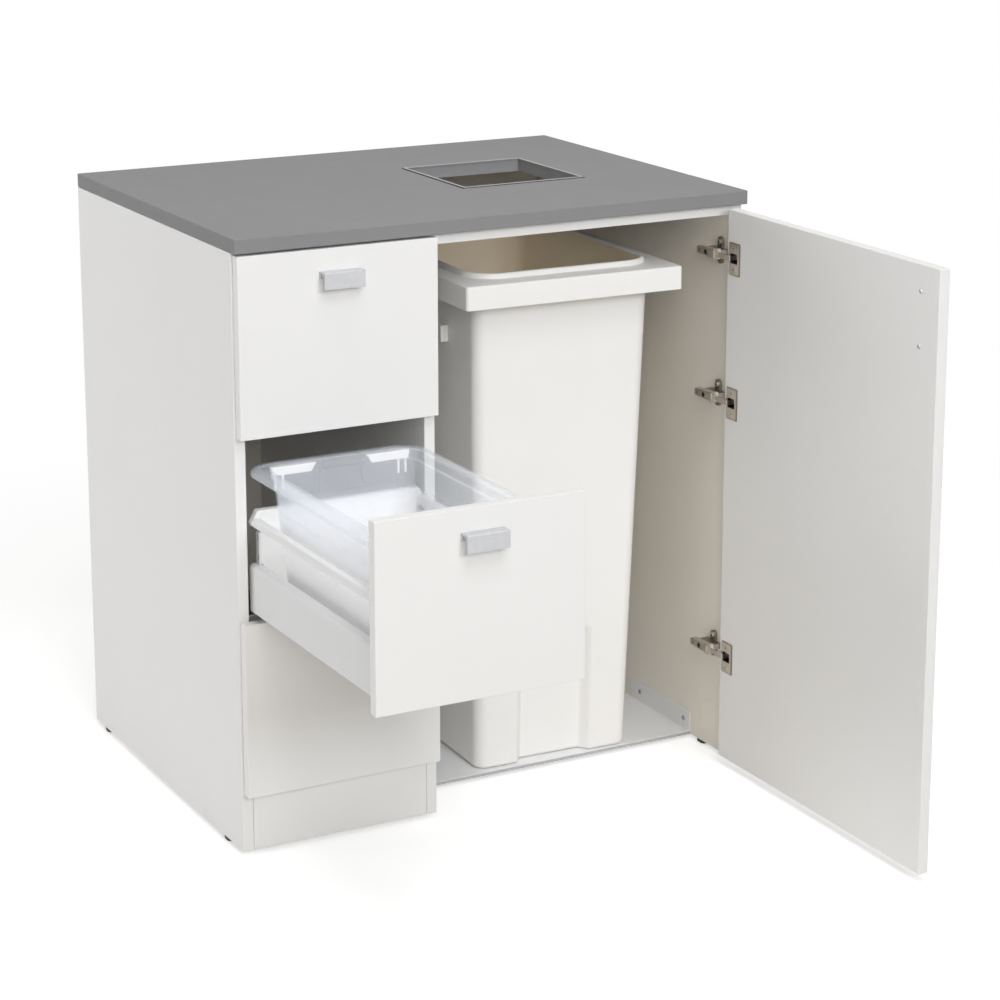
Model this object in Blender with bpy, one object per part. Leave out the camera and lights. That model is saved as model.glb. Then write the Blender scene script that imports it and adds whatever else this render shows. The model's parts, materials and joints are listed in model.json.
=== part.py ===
"""Recycling bin cabinet: a drawer column and a bin bay under one worktop with a waste chute.

Metres, +Z up, the front faces -Y. Inside this file the cabinet stands with the worktop's front left corner
at x = 0, y = 0 and the floor at z = 0. One empty then moves all of it, so that the origin lies on the floor
under the middle of the whole object as photographed: door open at a right angle, middle drawer pulled out.
"""

import math

import bmesh
import bpy
from mathutils import Vector

# Carcass
WIDTH = 0.800
DEPTH = 0.600
HEIGHT = 0.870
TOP_THICK = 0.020
TOP_CHAMFER = 0.001
TOP_OVERHANG = 0.016
BOARD = 0.016
BACK_THICK = 0.008
BACK_FOOT = 0.040
DRAWER_MODULE = 0.300
RAIL_DEPTH = 0.090
PLINTH_TOP = 0.087
EDGE_ROUND = 0.0008

# Feet
FOOT_HEIGHT = 0.006
FOOT_LENGTH = 0.020
FOOT_WIDTH = 0.014
FOOT_INSET_FRONT = 0.065
FOOT_INSET_REAR = 0.043

# Gaps
SEAT = 0.0003
FRONT_GAP = 0.0015
REVEAL = 0.0015
TOP_REVEAL = 0.003
FRONT_SPACING = 0.004
DRAWER_REVEAL = 0.0025

# Waste chute in the worktop
CHUTE_CENTRE_X = 0.548
CHUTE_CENTRE_Y = 0.310
CHUTE_FLANGE = 0.200
CHUTE_LIP = 0.007
CHUTE_WALL = 0.002
CHUTE_FLANGE_THICK = 0.0015
CHUTE_DROP = 0.004
CHUTE_CLEAR = 0.0005

# Base plate under the bin
PLATE_TOP = 0.011
PLATE_SHEET = 0.0015
PLATE_SETBACK = 0.088
PLATE_DEPTH = 0.366
PLATE_LIP = 0.005
FLANGE_HEIGHT = 0.032
FLANGE_LENGTH = 0.175

# Bin
BIN_SHIFT = 0.002
BIN_HEAD_ROOM = 0.065
BIN_SIDE_ROOM = 0.0655
BIN_FRONT_ROOM = 0.0275
BIN_REAR_ROOM = 0.059
BIN_COLLAR_SIDE = 0.0255
BIN_COLLAR_FRONT = 0.037
BIN_COLLAR_ROUND = 0.005
BIN_APRON = 0.0355
BIN_NECK = 0.008
BIN_WALL = 0.003
BIN_DRAFT_SIDE = 0.011
BIN_DRAFT_FRONT = 0.0295
BIN_CORNER = 0.040
BIN_BASE_CORNER = 0.036
BIN_BASE_ROUND = 0.006
BIN_RECESS_WIDTH = 0.095
BIN_RECESS_DEPTH = 0.015
BIN_RECESS_SLOPE = 0.014
BIN_RECESS_HEIGHT = 0.180
BIN_RECESS_FADE = 0.025

# Fronts and handles
FRONT_THICK = 0.016
HANDLE_LENGTH = 0.060
HANDLE_HEIGHT = 0.023
HANDLE_DEPTH = 0.018
HANDLE_WALL = 0.003
HANDLE_FOOT = 0.010
HANDLE_DROP = 0.030
DOOR_FOOT = 0.014
DOOR_HANDLE_LENGTH = 0.096
DOOR_HANDLE_EDGE = 0.028
DOOR_HANDLE_DROP = 0.024

# Hinges
HINGE_DROP = 0.072
HINGE_MIDDLE_DROP = 0.286
HINGE_RISE = 0.158
DOOR_STAND_IN = 0.020
DOOR_STAND_OFF = 0.005
PIVOT_DEPTH = 0.0095
LINK_THICK = 0.004
LINK_WIDTH = 0.012
LINK_RUN_THICK = 0.002
LINK_STANDOFF = 0.0039
LINK_LENGTH = 0.062
LINK_CLEAR = 0.0007
PIN_SIZE = 0.0026
CUP_WALL = 0.0008
CUP_HALF = 0.009
CUP_BEHIND = 0.007
CUP_FLANGE_THICK = 0.0012
CUP_FLANGE_HEIGHT = 0.050
CUP_FLANGE_LIP = 0.002
CUP_FLANGE_BEHIND = 0.019
PIN_END_CLEAR = 0.0004
ARM_LENGTH = 0.049
ARM_SETBACK = 0.001
ARM_WALL = 0.0015
ARM_SLOT_CLEAR = 0.0005
WING_HEIGHT = 0.050
WING_LENGTH = 0.020
WING_SETBACK = 0.010
WING_THICK = 0.003

# Drawers
DRAWER_NAMES = ("bottom", "middle", "top")
DRAWER_LENGTH = 0.412
MIDDLE_HELD = 0.006
SIDE_LIFT = 0.009
SIDE_HEIGHT = 0.067
SIDE_WIDTH = 0.015
SIDE_WALL = 0.0015
SIDE_ROUND = 0.0025
SIDE_CLEAR = 0.004
SIDE_LEDGE = 0.007
POST_LENGTH = 0.014
GALLERY_HEIGHT = 0.066
GALLERY_THICK = 0.011
DRAWER_FLOOR = 0.010
DRAWER_BACK = 0.012
DRAWER_BACK_HEIGHT = 0.141
DRAWER_BACK_CUT_X = 0.010
DRAWER_BACK_CUT_Z = 0.017

# Runners
RUNNER_SHEET = 0.0015
RUNNER_FOOT = 0.009
RUNNER_TALL = 0.022
RUNNER_UPSTAND = 0.014
RUNNER_UPSTAND_SETBACK = 0.0045
RUNNER_SHORT = 0.002
RUNNER_SETBACK = 0.006
SLIDE_SHORT = 0.012
SLIDE_TALL = 0.018
SLIDE_FOOT = 0.005
SLIDE_CLEAR = 0.0004

# Tub in the middle drawer
TUB_RIM_HEIGHT = 0.1915
TUB_SIDE_ROOM = 0.0015
TUB_FRONT_ROOM = 0.006
TUB_REAR_OVERHANG = 0.0315
TUB_LIP = 0.024
TUB_LIP_END = 0.032
TUB_LIP_DROP = 0.0105
TUB_WALL = 0.0022
TUB_DRAFT = 0.016
TUB_CORNER = 0.045
TUB_BODY_CORNER = 0.028
TUB_BASE_ROUND = 0.008

ARC_STEPS = 4

# Places that several pieces share
UNDERSIDE = HEIGHT - TOP_THICK
CARCASS_FRONT = TOP_OVERHANG
CARCASS_TOP = UNDERSIDE - SEAT
BACK_FRONT = DEPTH - BACK_THICK
BAY_LEFT = DRAWER_MODULE
BAY_RIGHT = WIDTH - BOARD
FRONT_REAR_FACE = CARCASS_FRONT - FRONT_GAP
RAIL_UNDERSIDE = CARCASS_TOP - BOARD
FRONTS_LOW = PLINTH_TOP + TOP_REVEAL
FRONTS_HIGH = UNDERSIDE - TOP_REVEAL
FRONT_HEIGHT = (FRONTS_HIGH - FRONTS_LOW - FRONT_SPACING * (len(DRAWER_NAMES) - 1)) / len(DRAWER_NAMES)
FRONT_PITCH = FRONT_HEIGHT + FRONT_SPACING
RUNNER_LENGTH = DRAWER_LENGTH - RUNNER_SHORT
SLIDE_LENGTH = DRAWER_LENGTH - SLIDE_SHORT
MIDDLE_PULL = DRAWER_LENGTH - MIDDLE_HELD

# The open door and its pivot line, which the links carry out of the hinge arms as the door swings
DOOR_WIDTH = WIDTH - REVEAL - (BAY_LEFT + REVEAL)
DOOR_INNER_X = BAY_RIGHT - DOOR_STAND_IN
PIVOT_X = DOOR_INNER_X + PIVOT_DEPTH
PIVOT_INSET = WIDTH - REVEAL - PIVOT_X
PIVOT_Y = -DOOR_STAND_OFF - PIVOT_INSET
LINK_REACH = PIVOT_DEPTH + LINK_STANDOFF + LINK_RUN_THICK
HINGE_HEIGHTS = {
    "top": FRONTS_HIGH - HINGE_DROP,
    "middle": FRONTS_HIGH - HINGE_MIDDLE_DROP,
    "bottom": DOOR_FOOT + HINGE_RISE,
}
CENTRE = Vector((WIDTH / 2, (DEPTH - DOOR_STAND_OFF - DOOR_WIDTH) / 2, 0.0))

# Finishes: colour, roughness, metallic
WHITE_MELAMINE = ((0.80, 0.80, 0.79), 0.45, 0.0)
GREY_LAMINATE = ((0.29, 0.29, 0.30), 0.50, 0.0)
GREY_PLASTIC = ((0.33, 0.34, 0.35), 0.45, 0.0)
WHITE_SHEET = ((0.74, 0.75, 0.76), 0.40, 0.0)
WHITE_PLASTIC = ((0.84, 0.83, 0.81), 0.40, 0.0)
CLEAR_PLASTIC = ((0.68, 0.73, 0.78), 0.25, 0.0)
NICKEL = ((0.62, 0.58, 0.52), 0.30, 1.0)
GALVANISED = ((0.60, 0.61, 0.62), 0.40, 1.0)
BRUSHED_GREY = ((0.66, 0.67, 0.69), 0.40, 0.6)
BLACK_PLASTIC = ((0.02, 0.02, 0.02), 0.50, 0.0)


class Frame:
    """An empty that carries the pieces of one rigid body and stands on that body's joint axis."""

    def __init__(self, name, origin, parent=None):
        self.origin = Vector(origin)
        self.empty = bpy.data.objects.new(name, None)
        bpy.context.scene.collection.objects.link(self.empty)
        if parent:
            self.empty.parent = parent.empty
            self.empty.location = self.origin - parent.origin
        else:
            self.empty.location = self.origin - CENTRE


def clear_scene():
    """Remove whatever the open file holds."""
    for item in list(bpy.data.objects):
        bpy.data.objects.remove(item, do_unlink=True)


def make_material(name, finish):
    """One Principled BSDF material from a colour, a roughness and a metallic value."""
    colour, roughness, metallic = finish
    material = bpy.data.materials.new(name)
    material.use_nodes = True
    shader = material.node_tree.nodes["Principled BSDF"]
    shader.inputs["Base Color"].default_value = (*colour, 1.0)
    shader.inputs["Roughness"].default_value = roughness
    shader.inputs["Metallic"].default_value = metallic
    return material


def add_piece(name, bm, finish, frame, at=(0.0, 0.0, 0.0)):
    """Turn a bmesh into a named object of one body. Its place is given from that body's frame."""
    bmesh.ops.recalc_face_normals(bm, faces=bm.faces[:])
    if bm.calc_volume(signed=True) < 0:
        bmesh.ops.reverse_faces(bm, faces=bm.faces[:])
    mesh = bpy.data.meshes.new(name)
    bm.to_mesh(mesh)
    bm.free()
    mesh.shade_smooth()
    mesh.set_sharp_from_angle(angle=math.radians(30))
    mesh.materials.append(make_material(name + "_finish", finish))
    piece = bpy.data.objects.new(name, mesh)
    bpy.context.scene.collection.objects.link(piece)
    piece.parent = frame.empty
    piece.location = at
    return piece


# Shapes

def block(low, high, edge=EDGE_ROUND):
    """A box between two corners, with a small chamfer on every edge."""
    bm = bmesh.new()
    bmesh.ops.create_cube(bm, size=1.0)
    low, high = Vector(low), Vector(high)
    bmesh.ops.scale(bm, vec=high - low, verts=bm.verts)
    bmesh.ops.translate(bm, vec=(low + high) / 2, verts=bm.verts)
    if edge:
        bmesh.ops.bevel(bm, geom=bm.edges[:], offset=edge, segments=1, profile=0.5, affect="EDGES",
                        material=-1)
    return bm


def prism(outline, direction):
    """A closed outline of 3-D points, extruded along a direction."""
    bm = bmesh.new()
    bm.faces.new([bm.verts.new(point) for point in outline])
    made = bmesh.ops.extrude_face_region(bm, geom=bm.faces[:])
    moved = [item for item in made["geom"] if isinstance(item, bmesh.types.BMVert)]
    bmesh.ops.translate(bm, vec=direction, verts=moved)
    return bm


def loft(loops, ring=False):
    """A skin over loops of equally many points: capped at both ends, or closed on itself as a ring."""
    bm = bmesh.new()
    rows = [[bm.verts.new(point) for point in loop] for loop in loops]
    pairs = list(zip(rows, rows[1:]))
    if ring:
        pairs.append((rows[-1], rows[0]))
    for one, other in pairs:
        for i in range(len(one)):
            bm.faces.new((one[i - 1], one[i], other[i], other[i - 1]))
    if not ring:
        bm.faces.new(rows[0])
        bm.faces.new(rows[-1])
    return bm


def arc(centre, radius, start, end, steps=ARC_STEPS):
    """Points on a circle, from one angle to another in degrees."""
    points = []
    for i in range(steps + 1):
        angle = math.radians(start + (end - start) * i / steps)
        points.append((centre[0] + radius * math.cos(angle), centre[1] + radius * math.sin(angle)))
    return points


def rectangle(x0, x1, y0, y1, z):
    """The four corners of a level rectangle."""
    return [(x0, y0, z), (x1, y0, z), (x1, y1, z), (x0, y1, z)]


def rounded(x0, x1, y0, y1, radius, z, front=()):
    """A level rectangle with round corners, and further points along its front edge."""
    points = arc((x0 + radius, y0 + radius), radius, 180, 270)
    points += list(front)
    points += arc((x1 - radius, y0 + radius), radius, 270, 360)
    points += arc((x1 - radius, y1 - radius), radius, 0, 90)
    points += arc((x0 + radius, y1 - radius), radius, 90, 180)
    return [(x, y, z) for x, y in points]


def split(bm, axis, value):
    """Cut new edges where a plane square to an axis meets the mesh."""
    point, normal = Vector(), Vector()
    point[axis] = value
    normal[axis] = 1.0
    geom = bm.verts[:] + bm.edges[:] + bm.faces[:]
    bmesh.ops.bisect_plane(bm, geom=geom, dist=1e-7, plane_co=point, plane_no=normal)


def pull(bm, facing, low, high, distance):
    """Extrude the faces that look one way and lie between two corners, along that way."""
    facing = Vector(facing)
    bm.normal_update()

    def chosen(face):
        centre = face.calc_center_median()
        inside = all(low[i] - SEAT / 100 <= centre[i] <= high[i] + SEAT / 100 for i in range(3))
        return inside and face.normal.dot(facing) > 0.9

    faces = [face for face in bm.faces if chosen(face)]
    edges = list(dict.fromkeys(edge for face in faces for edge in face.edges))
    made = bmesh.ops.extrude_face_region(bm, geom=faces + edges)
    moved = [item for item in made["geom"] if isinstance(item, bmesh.types.BMVert)]
    bmesh.ops.translate(bm, vec=facing * distance, verts=moved)


# Carcass

def chute_square(half, z):
    """A level square around the middle of the chute."""
    return rectangle(CHUTE_CENTRE_X - half, CHUTE_CENTRE_X + half,
                     CHUTE_CENTRE_Y - half, CHUTE_CENTRE_Y + half, z)


def build_worktop(frame):
    """The worktop, with the square cut-out that the chute frame drops into and a rebate for its flange."""
    rebate = CHUTE_FLANGE / 2 + CHUTE_CLEAR
    hole = CHUTE_FLANGE / 2 - CHUTE_LIP + CHUTE_CLEAR
    ledge = HEIGHT - CHUTE_FLANGE_THICK - SEAT
    edge = TOP_CHAMFER
    loops = [
        rectangle(0, WIDTH, 0, DEPTH, UNDERSIDE),
        rectangle(0, WIDTH, 0, DEPTH, HEIGHT - edge),
        rectangle(edge, WIDTH - edge, edge, DEPTH - edge, HEIGHT),
        chute_square(rebate, HEIGHT), chute_square(rebate, ledge),
        chute_square(hole, ledge), chute_square(hole, UNDERSIDE),
    ]
    add_piece("worktop", loft(loops, ring=True), GREY_LAMINATE, frame)


def build_chute_frame(frame):
    """The square insert: a thin flange flush with the worktop and walls down through it."""
    outer = CHUTE_FLANGE / 2
    wall = outer - CHUTE_LIP
    inner = wall - CHUTE_WALL
    seat = HEIGHT - CHUTE_FLANGE_THICK
    low = UNDERSIDE - CHUTE_DROP
    loops = [chute_square(wall, low), chute_square(wall, seat), chute_square(outer, seat),
             chute_square(outer, HEIGHT), chute_square(inner, HEIGHT), chute_square(inner, low)]
    add_piece("chute_frame", loft(loops, ring=True), GREY_PLASTIC, frame)


def build_carcass(frame):
    """Side panels, partition, back, rails, plinth, drawer bay bottom and glide feet."""
    bay_low, bay_high = BOARD + SEAT, DRAWER_MODULE - BOARD - SEAT
    boards = {
        "left_side_panel": ((0, CARCASS_FRONT, FOOT_HEIGHT), (BOARD, DEPTH, CARCASS_TOP)),
        "partition_panel": ((DRAWER_MODULE - BOARD, CARCASS_FRONT, FOOT_HEIGHT),
                            (DRAWER_MODULE, BACK_FRONT - SEAT, CARCASS_TOP)),
        "right_side_panel": ((BAY_RIGHT, CARCASS_FRONT, FOOT_HEIGHT), (WIDTH, DEPTH, CARCASS_TOP)),
        "back_panel": ((BOARD + SEAT, BACK_FRONT, BACK_FOOT), (BAY_RIGHT - SEAT, DEPTH, CARCASS_TOP)),
        "plinth_board": ((bay_low, CARCASS_FRONT, FOOT_HEIGHT),
                         (bay_high, CARCASS_FRONT + BOARD, PLINTH_TOP)),
        "drawer_bay_bottom": ((bay_low, CARCASS_FRONT + BOARD + SEAT, PLINTH_TOP - BOARD),
                              (bay_high, BACK_FRONT - SEAT, PLINTH_TOP)),
    }
    for name, (low, high) in boards.items():
        add_piece(name, block(low, high), WHITE_MELAMINE, frame)

    bays = {"drawer_bay": (bay_low, bay_high), "bin_bay": (BAY_LEFT + SEAT, BAY_RIGHT - SEAT)}
    rows = {"front_rail": CARCASS_FRONT, "rear_rail": BACK_FRONT - SEAT - RAIL_DEPTH}
    for bay, (x0, x1) in bays.items():
        for row, y0 in rows.items():
            rail = block((x0, y0, RAIL_UNDERSIDE), (x1, y0 + RAIL_DEPTH, CARCASS_TOP))
            add_piece(row + "_" + bay, rail, WHITE_MELAMINE, frame)

    sides = {"left": BOARD / 2, "right": WIDTH - BOARD / 2}
    ends = {"front": CARCASS_FRONT + FOOT_INSET_FRONT, "rear": DEPTH - FOOT_INSET_REAR}
    for side, x in sides.items():
        for end, y in ends.items():
            half = Vector((FOOT_WIDTH / 2, FOOT_LENGTH / 2, 0))
            spot = Vector((x, y, 0))
            foot = block(spot - half, spot + half + Vector((0, 0, FOOT_HEIGHT - SEAT)))
            add_piece("glide_foot_{}_{}".format(side, end), foot, BLACK_PLASTIC, frame)


def build_base_plate(frame):
    """The folded sheet that the bin stands on: side flanges turned up, front and rear lips turned down."""
    x0, x1 = BAY_LEFT + SEAT, BAY_RIGHT - SEAT
    y0 = CARCASS_FRONT + PLATE_SETBACK
    y1 = y0 + PLATE_DEPTH
    z0 = PLATE_TOP - PLATE_SHEET
    bm = block((x0, y0, z0), (x1, y1, PLATE_TOP), edge=0)
    for x in (x0 + PLATE_SHEET, x1 - PLATE_SHEET):
        split(bm, 0, x)
    for y in (y0 + PLATE_SHEET, y0 + FLANGE_LENGTH, y1 - PLATE_SHEET):
        split(bm, 1, y)
    for low, high in ((x0, x0 + PLATE_SHEET), (x1 - PLATE_SHEET, x1)):
        pull(bm, (0, 0, 1), (low, y0, PLATE_TOP), (high, y0 + FLANGE_LENGTH, PLATE_TOP), FLANGE_HEIGHT)
    for low, high in ((y0, y0 + PLATE_SHEET), (y1 - PLATE_SHEET, y1)):
        pull(bm, (0, 0, -1), (x0, low, z0), (x1, high, z0), PLATE_LIP - PLATE_SHEET)
    add_piece("bin_base_plate", bm, WHITE_SHEET, frame)


# Bin

def bin_loop(z, grow, lower, upper, radius, notch):
    """A level loop of the bin's wall: the walls lean out evenly between two heights.

    grow moves the loop out of the outer skin, and notch is how deep the foot recess cuts at this height.
    """
    share = (z - lower) / (upper - lower)
    side = BIN_SIDE_ROOM + BIN_COLLAR_SIDE + BIN_DRAFT_SIDE * (1 - share) - grow
    front = BIN_FRONT_ROOM + BIN_COLLAR_FRONT + BIN_DRAFT_FRONT * (1 - share) - grow
    rear = BIN_REAR_ROOM + BIN_COLLAR_FRONT + BIN_DRAFT_FRONT * (1 - share) - grow
    x0, x1 = BAY_LEFT + BIN_SHIFT + side, BAY_RIGHT + BIN_SHIFT - side
    y0, y1 = CARCASS_FRONT + front, BACK_FRONT - rear
    middle = (x0 + x1) / 2
    half = BIN_RECESS_WIDTH / 2 - grow
    slope = half + BIN_RECESS_SLOPE
    notched = [(middle - slope, y0), (middle - half, y0 + notch),
               (middle + half, y0 + notch), (middle + slope, y0)]
    return rounded(x0, x1, y0, y1, radius, z, notched)


def build_bin(frame):
    """The tall bin: tapered body with a foot recess, flat collar with a deep apron, and a short neck."""
    low = PLATE_TOP + SEAT
    top = RAIL_UNDERSIDE - BIN_HEAD_ROOM
    collar = top - BIN_NECK
    under = collar - BIN_WALL
    recess = low + BIN_RECESS_HEIGHT
    fade = recess + BIN_RECESS_FADE

    def wall(z, grow, notch=0.0):
        share = (z - low) / (under - low)
        radius = BIN_BASE_CORNER + (BIN_CORNER - BIN_BASE_CORNER) * share + grow
        return bin_loop(z, grow, low, under, radius, notch)

    def skirt(z, trim):
        x0 = BAY_LEFT + BIN_SHIFT + BIN_SIDE_ROOM + trim
        x1 = BAY_RIGHT + BIN_SHIFT - BIN_SIDE_ROOM - trim
        y0 = CARCASS_FRONT + BIN_FRONT_ROOM + trim
        y1 = BACK_FRONT - BIN_REAR_ROOM - trim
        middle = (x0 + x1) / 2
        half = BIN_RECESS_WIDTH / 2
        slope = half + BIN_RECESS_SLOPE
        front = [(middle - slope, y0), (middle - half, y0), (middle + half, y0), (middle + slope, y0)]
        return rounded(x0, x1, y0, y1, BIN_COLLAR_ROUND, z, front)

    notch = BIN_RECESS_DEPTH
    floor = low + BIN_WALL
    loops = [
        wall(low, -BIN_BASE_ROUND, notch),
        wall(low + BIN_BASE_ROUND, 0.0, notch),
        wall(recess, 0.0, notch),
        wall(fade, 0.0),
        wall(under, 0.0),
        skirt(under, BIN_WALL),
        skirt(collar - BIN_APRON, BIN_WALL),
        skirt(collar - BIN_APRON, 0.0),
        skirt(collar, 0.0),
        wall(collar, 0.0),
        wall(top, 0.0),
        wall(top, -BIN_WALL),
        wall(fade, -BIN_WALL),
        wall(recess, -BIN_WALL, notch),
        wall(floor + BIN_BASE_ROUND, -BIN_WALL, notch),
        wall(floor, -BIN_WALL - BIN_BASE_ROUND, notch),
    ]
    add_piece("bin", loft(loops), WHITE_PLASTIC, frame)


# Handles

def handle_outline(depth_first):
    """The open hook section of a pull, as (out, down) points from the surface that it is fixed to."""
    out, wall = HANDLE_DEPTH, HANDLE_WALL
    section = [
        (SEAT, 0), (out, 0), (out, HANDLE_HEIGHT), (out - wall, HANDLE_HEIGHT),
        (out - wall, wall), (SEAT + wall, wall), (SEAT + wall, HANDLE_FOOT), (SEAT, HANDLE_FOOT),
    ]
    return [depth_first(out_by, down_by) for out_by, down_by in section]


# Door and hinges

def build_door(frame):
    """The door panel as it stands open, with a pocket for each hinge cup, and its handle."""
    inner, outer = -PIVOT_DEPTH, FRONT_THICK - PIVOT_DEPTH
    hinge_edge, free_edge = PIVOT_INSET, PIVOT_INSET - DOOR_WIDTH
    y0, y1, half, depth = cup_extent(CUP_WALL + SEAT)
    bm = block((inner, free_edge, DOOR_FOOT), (outer, hinge_edge, FRONTS_HIGH))
    for y in (y0, y1):
        split(bm, 1, y)
    for z in HINGE_HEIGHTS.values():
        split(bm, 2, z - half)
        split(bm, 2, z + half)
    for z in HINGE_HEIGHTS.values():
        pull(bm, (-1, 0, 0), (inner, y0, z - half), (inner, y1, z + half), -(depth + PIVOT_DEPTH))
    add_piece("door_panel", bm, WHITE_MELAMINE, frame)

    high = FRONTS_HIGH - DOOR_HANDLE_DROP
    edge = free_edge + DOOR_HANDLE_EDGE
    outline = handle_outline(lambda out, down: (outer + out, edge + down, high - DOOR_HANDLE_LENGTH))
    add_piece("door_handle", prism(outline, (0, 0, DOOR_HANDLE_LENGTH)), BRUSHED_GREY, frame)


def cup_extent(margin):
    """The hollow that the link needs in the door, grown by a margin: y from, y to, half height, depth."""
    far = -math.hypot(LINK_REACH, LINK_THICK / 2) - LINK_CLEAR
    depth = LINK_THICK / 2 + LINK_CLEAR
    return far - margin, CUP_BEHIND + margin, CUP_HALF + margin, depth + margin


def build_hinge_cup(name, frame, z):
    """A cup let into the door, with the flange that is screwed to the door's inner face."""
    y0, y1, half, floor = cup_extent(0.0)
    skin_y0, skin_y1, skin_half, skin_floor = cup_extent(CUP_WALL)
    seat = -PIVOT_DEPTH - SEAT
    face = seat - CUP_FLANGE_THICK
    tall = CUP_FLANGE_HEIGHT / 2
    bm = block((face, skin_y0 - CUP_FLANGE_LIP, -tall), (seat, CUP_FLANGE_BEHIND, tall), edge=0)
    for y in (skin_y0, y0, y1, skin_y1):
        split(bm, 1, y)
    for level in (-skin_half, -half, half, skin_half):
        split(bm, 2, level)
    pull(bm, (1, 0, 0), (seat, skin_y0, -skin_half), (seat, skin_y1, skin_half), skin_floor - seat)
    pull(bm, (-1, 0, 0), (face, y0, -half), (face, y1, half), -(floor - face))
    add_piece(name, bm, NICKEL, frame, (0, 0, z))


def build_hinge_link(name, frame, z):
    """The bent strip between arm and cup: its hook turns in the cup, its run slides in the arm."""
    half = LINK_THICK / 2
    near = LINK_RUN_THICK - LINK_REACH
    low = -LINK_WIDTH / 2
    section = arc((0, 0), half, -90, 90)
    section += [(near, half), (near, LINK_LENGTH), (-LINK_REACH, LINK_LENGTH), (-LINK_REACH, -half)]
    bm = prism([(x, y, low) for x, y in section], (0, 0, LINK_WIDTH))
    pin = PIN_SIZE / 2
    for axis in (0, 1):
        split(bm, axis, -pin)
        split(bm, axis, pin)
    stub = CUP_HALF - PIN_END_CLEAR - LINK_WIDTH / 2
    bmesh.ops.recalc_face_normals(bm, faces=bm.faces[:])
    for way in (1, -1):
        level = way * LINK_WIDTH / 2
        pull(bm, (0, 0, way), (-pin, -pin, level), (pin, pin, level), stub)
    add_piece(name, bm, NICKEL, frame, (0, 0, z))


def build_hinge_arm(name, frame, z):
    """The arm on the side panel: a slotted bar for the link's run, with the wings that are screwed on."""
    slot_x1 = PIVOT_X - LINK_REACH + LINK_RUN_THICK + ARM_SLOT_CLEAR
    slot_x0 = PIVOT_X - LINK_REACH - ARM_SLOT_CLEAR
    slot_half = LINK_WIDTH / 2 + ARM_SLOT_CLEAR
    x0, x1 = slot_x0 - ARM_WALL, BAY_RIGHT - SEAT
    half = slot_half + ARM_WALL
    y0 = CARCASS_FRONT + ARM_SETBACK
    y1 = y0 + ARM_LENGTH

    def section(low_x, high_x, tall, y):
        return [(low_x, y, -tall), (high_x, y, -tall), (high_x, y, tall), (low_x, y, tall)]

    loops = [section(x0, x1, half, y0), section(x0, x1, half, y1),
             section(slot_x0, slot_x1, slot_half, y1), section(slot_x0, slot_x1, slot_half, y0)]
    bm = loft(loops, ring=True)
    wing_x, wing_y0 = x1 - WING_THICK, y0 + WING_SETBACK
    wing_y1 = wing_y0 + WING_LENGTH
    split(bm, 0, wing_x)
    split(bm, 1, wing_y0)
    split(bm, 1, wing_y1)
    bmesh.ops.recalc_face_normals(bm, faces=bm.faces[:])
    for way in (1, -1):
        level = way * half
        pull(bm, (0, 0, way), (wing_x, wing_y0, level), (x1, wing_y1, level), WING_HEIGHT / 2 - half)
    add_piece(name, bm, NICKEL, frame, (0, 0, z))


# Drawers

def side_span():
    """Inner faces of the drawer bay's two boards, and of the steel sides in it."""
    left, right = BOARD, DRAWER_MODULE - BOARD
    reach = SIDE_CLEAR + SIDE_WIDTH
    return left, right, left + reach, right - reach


def build_drawer_side(name, frame, face_x, inward):
    """A hollow steel side, open below over its runner, with a post that carries the gallery rail."""
    w, h, t, r = SIDE_WIDTH, SIDE_HEIGHT, SIDE_WALL, SIDE_ROUND
    section = [(0, 0), (t, 0), (t, h - t), (w - t, h - t), (w - t, 0),
               (w + SIDE_LEDGE, 0), (w + SIDE_LEDGE, t), (w, t)]
    section += arc((w - r, h - r), r, 0, 90)
    section += arc((r, h - r), r, 90, 180)
    bm = prism([(inward * x, 0, z) for x, z in section], (0, DRAWER_LENGTH - SEAT, 0))
    rear = DRAWER_LENGTH - DRAWER_BACK - 2 * SEAT
    post = rear - POST_LENGTH
    top = SIDE_HEIGHT + GALLERY_HEIGHT
    split(bm, 1, post)
    split(bm, 1, rear)
    bmesh.ops.recalc_face_normals(bm, faces=bm.faces[:])
    low_x, high_x = sorted((inward * r, inward * (w - r)))
    pull(bm, (0, 0, 1), (low_x, post, h), (high_x, rear, h), GALLERY_HEIGHT)
    split(bm, 2, top - GALLERY_THICK)
    pull(bm, (0, -1, 0), (low_x, post, top - GALLERY_THICK), (high_x, post, top), post)
    add_piece(name, bm, WHITE_SHEET, frame, (face_x, SEAT, SIDE_LIFT))


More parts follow.
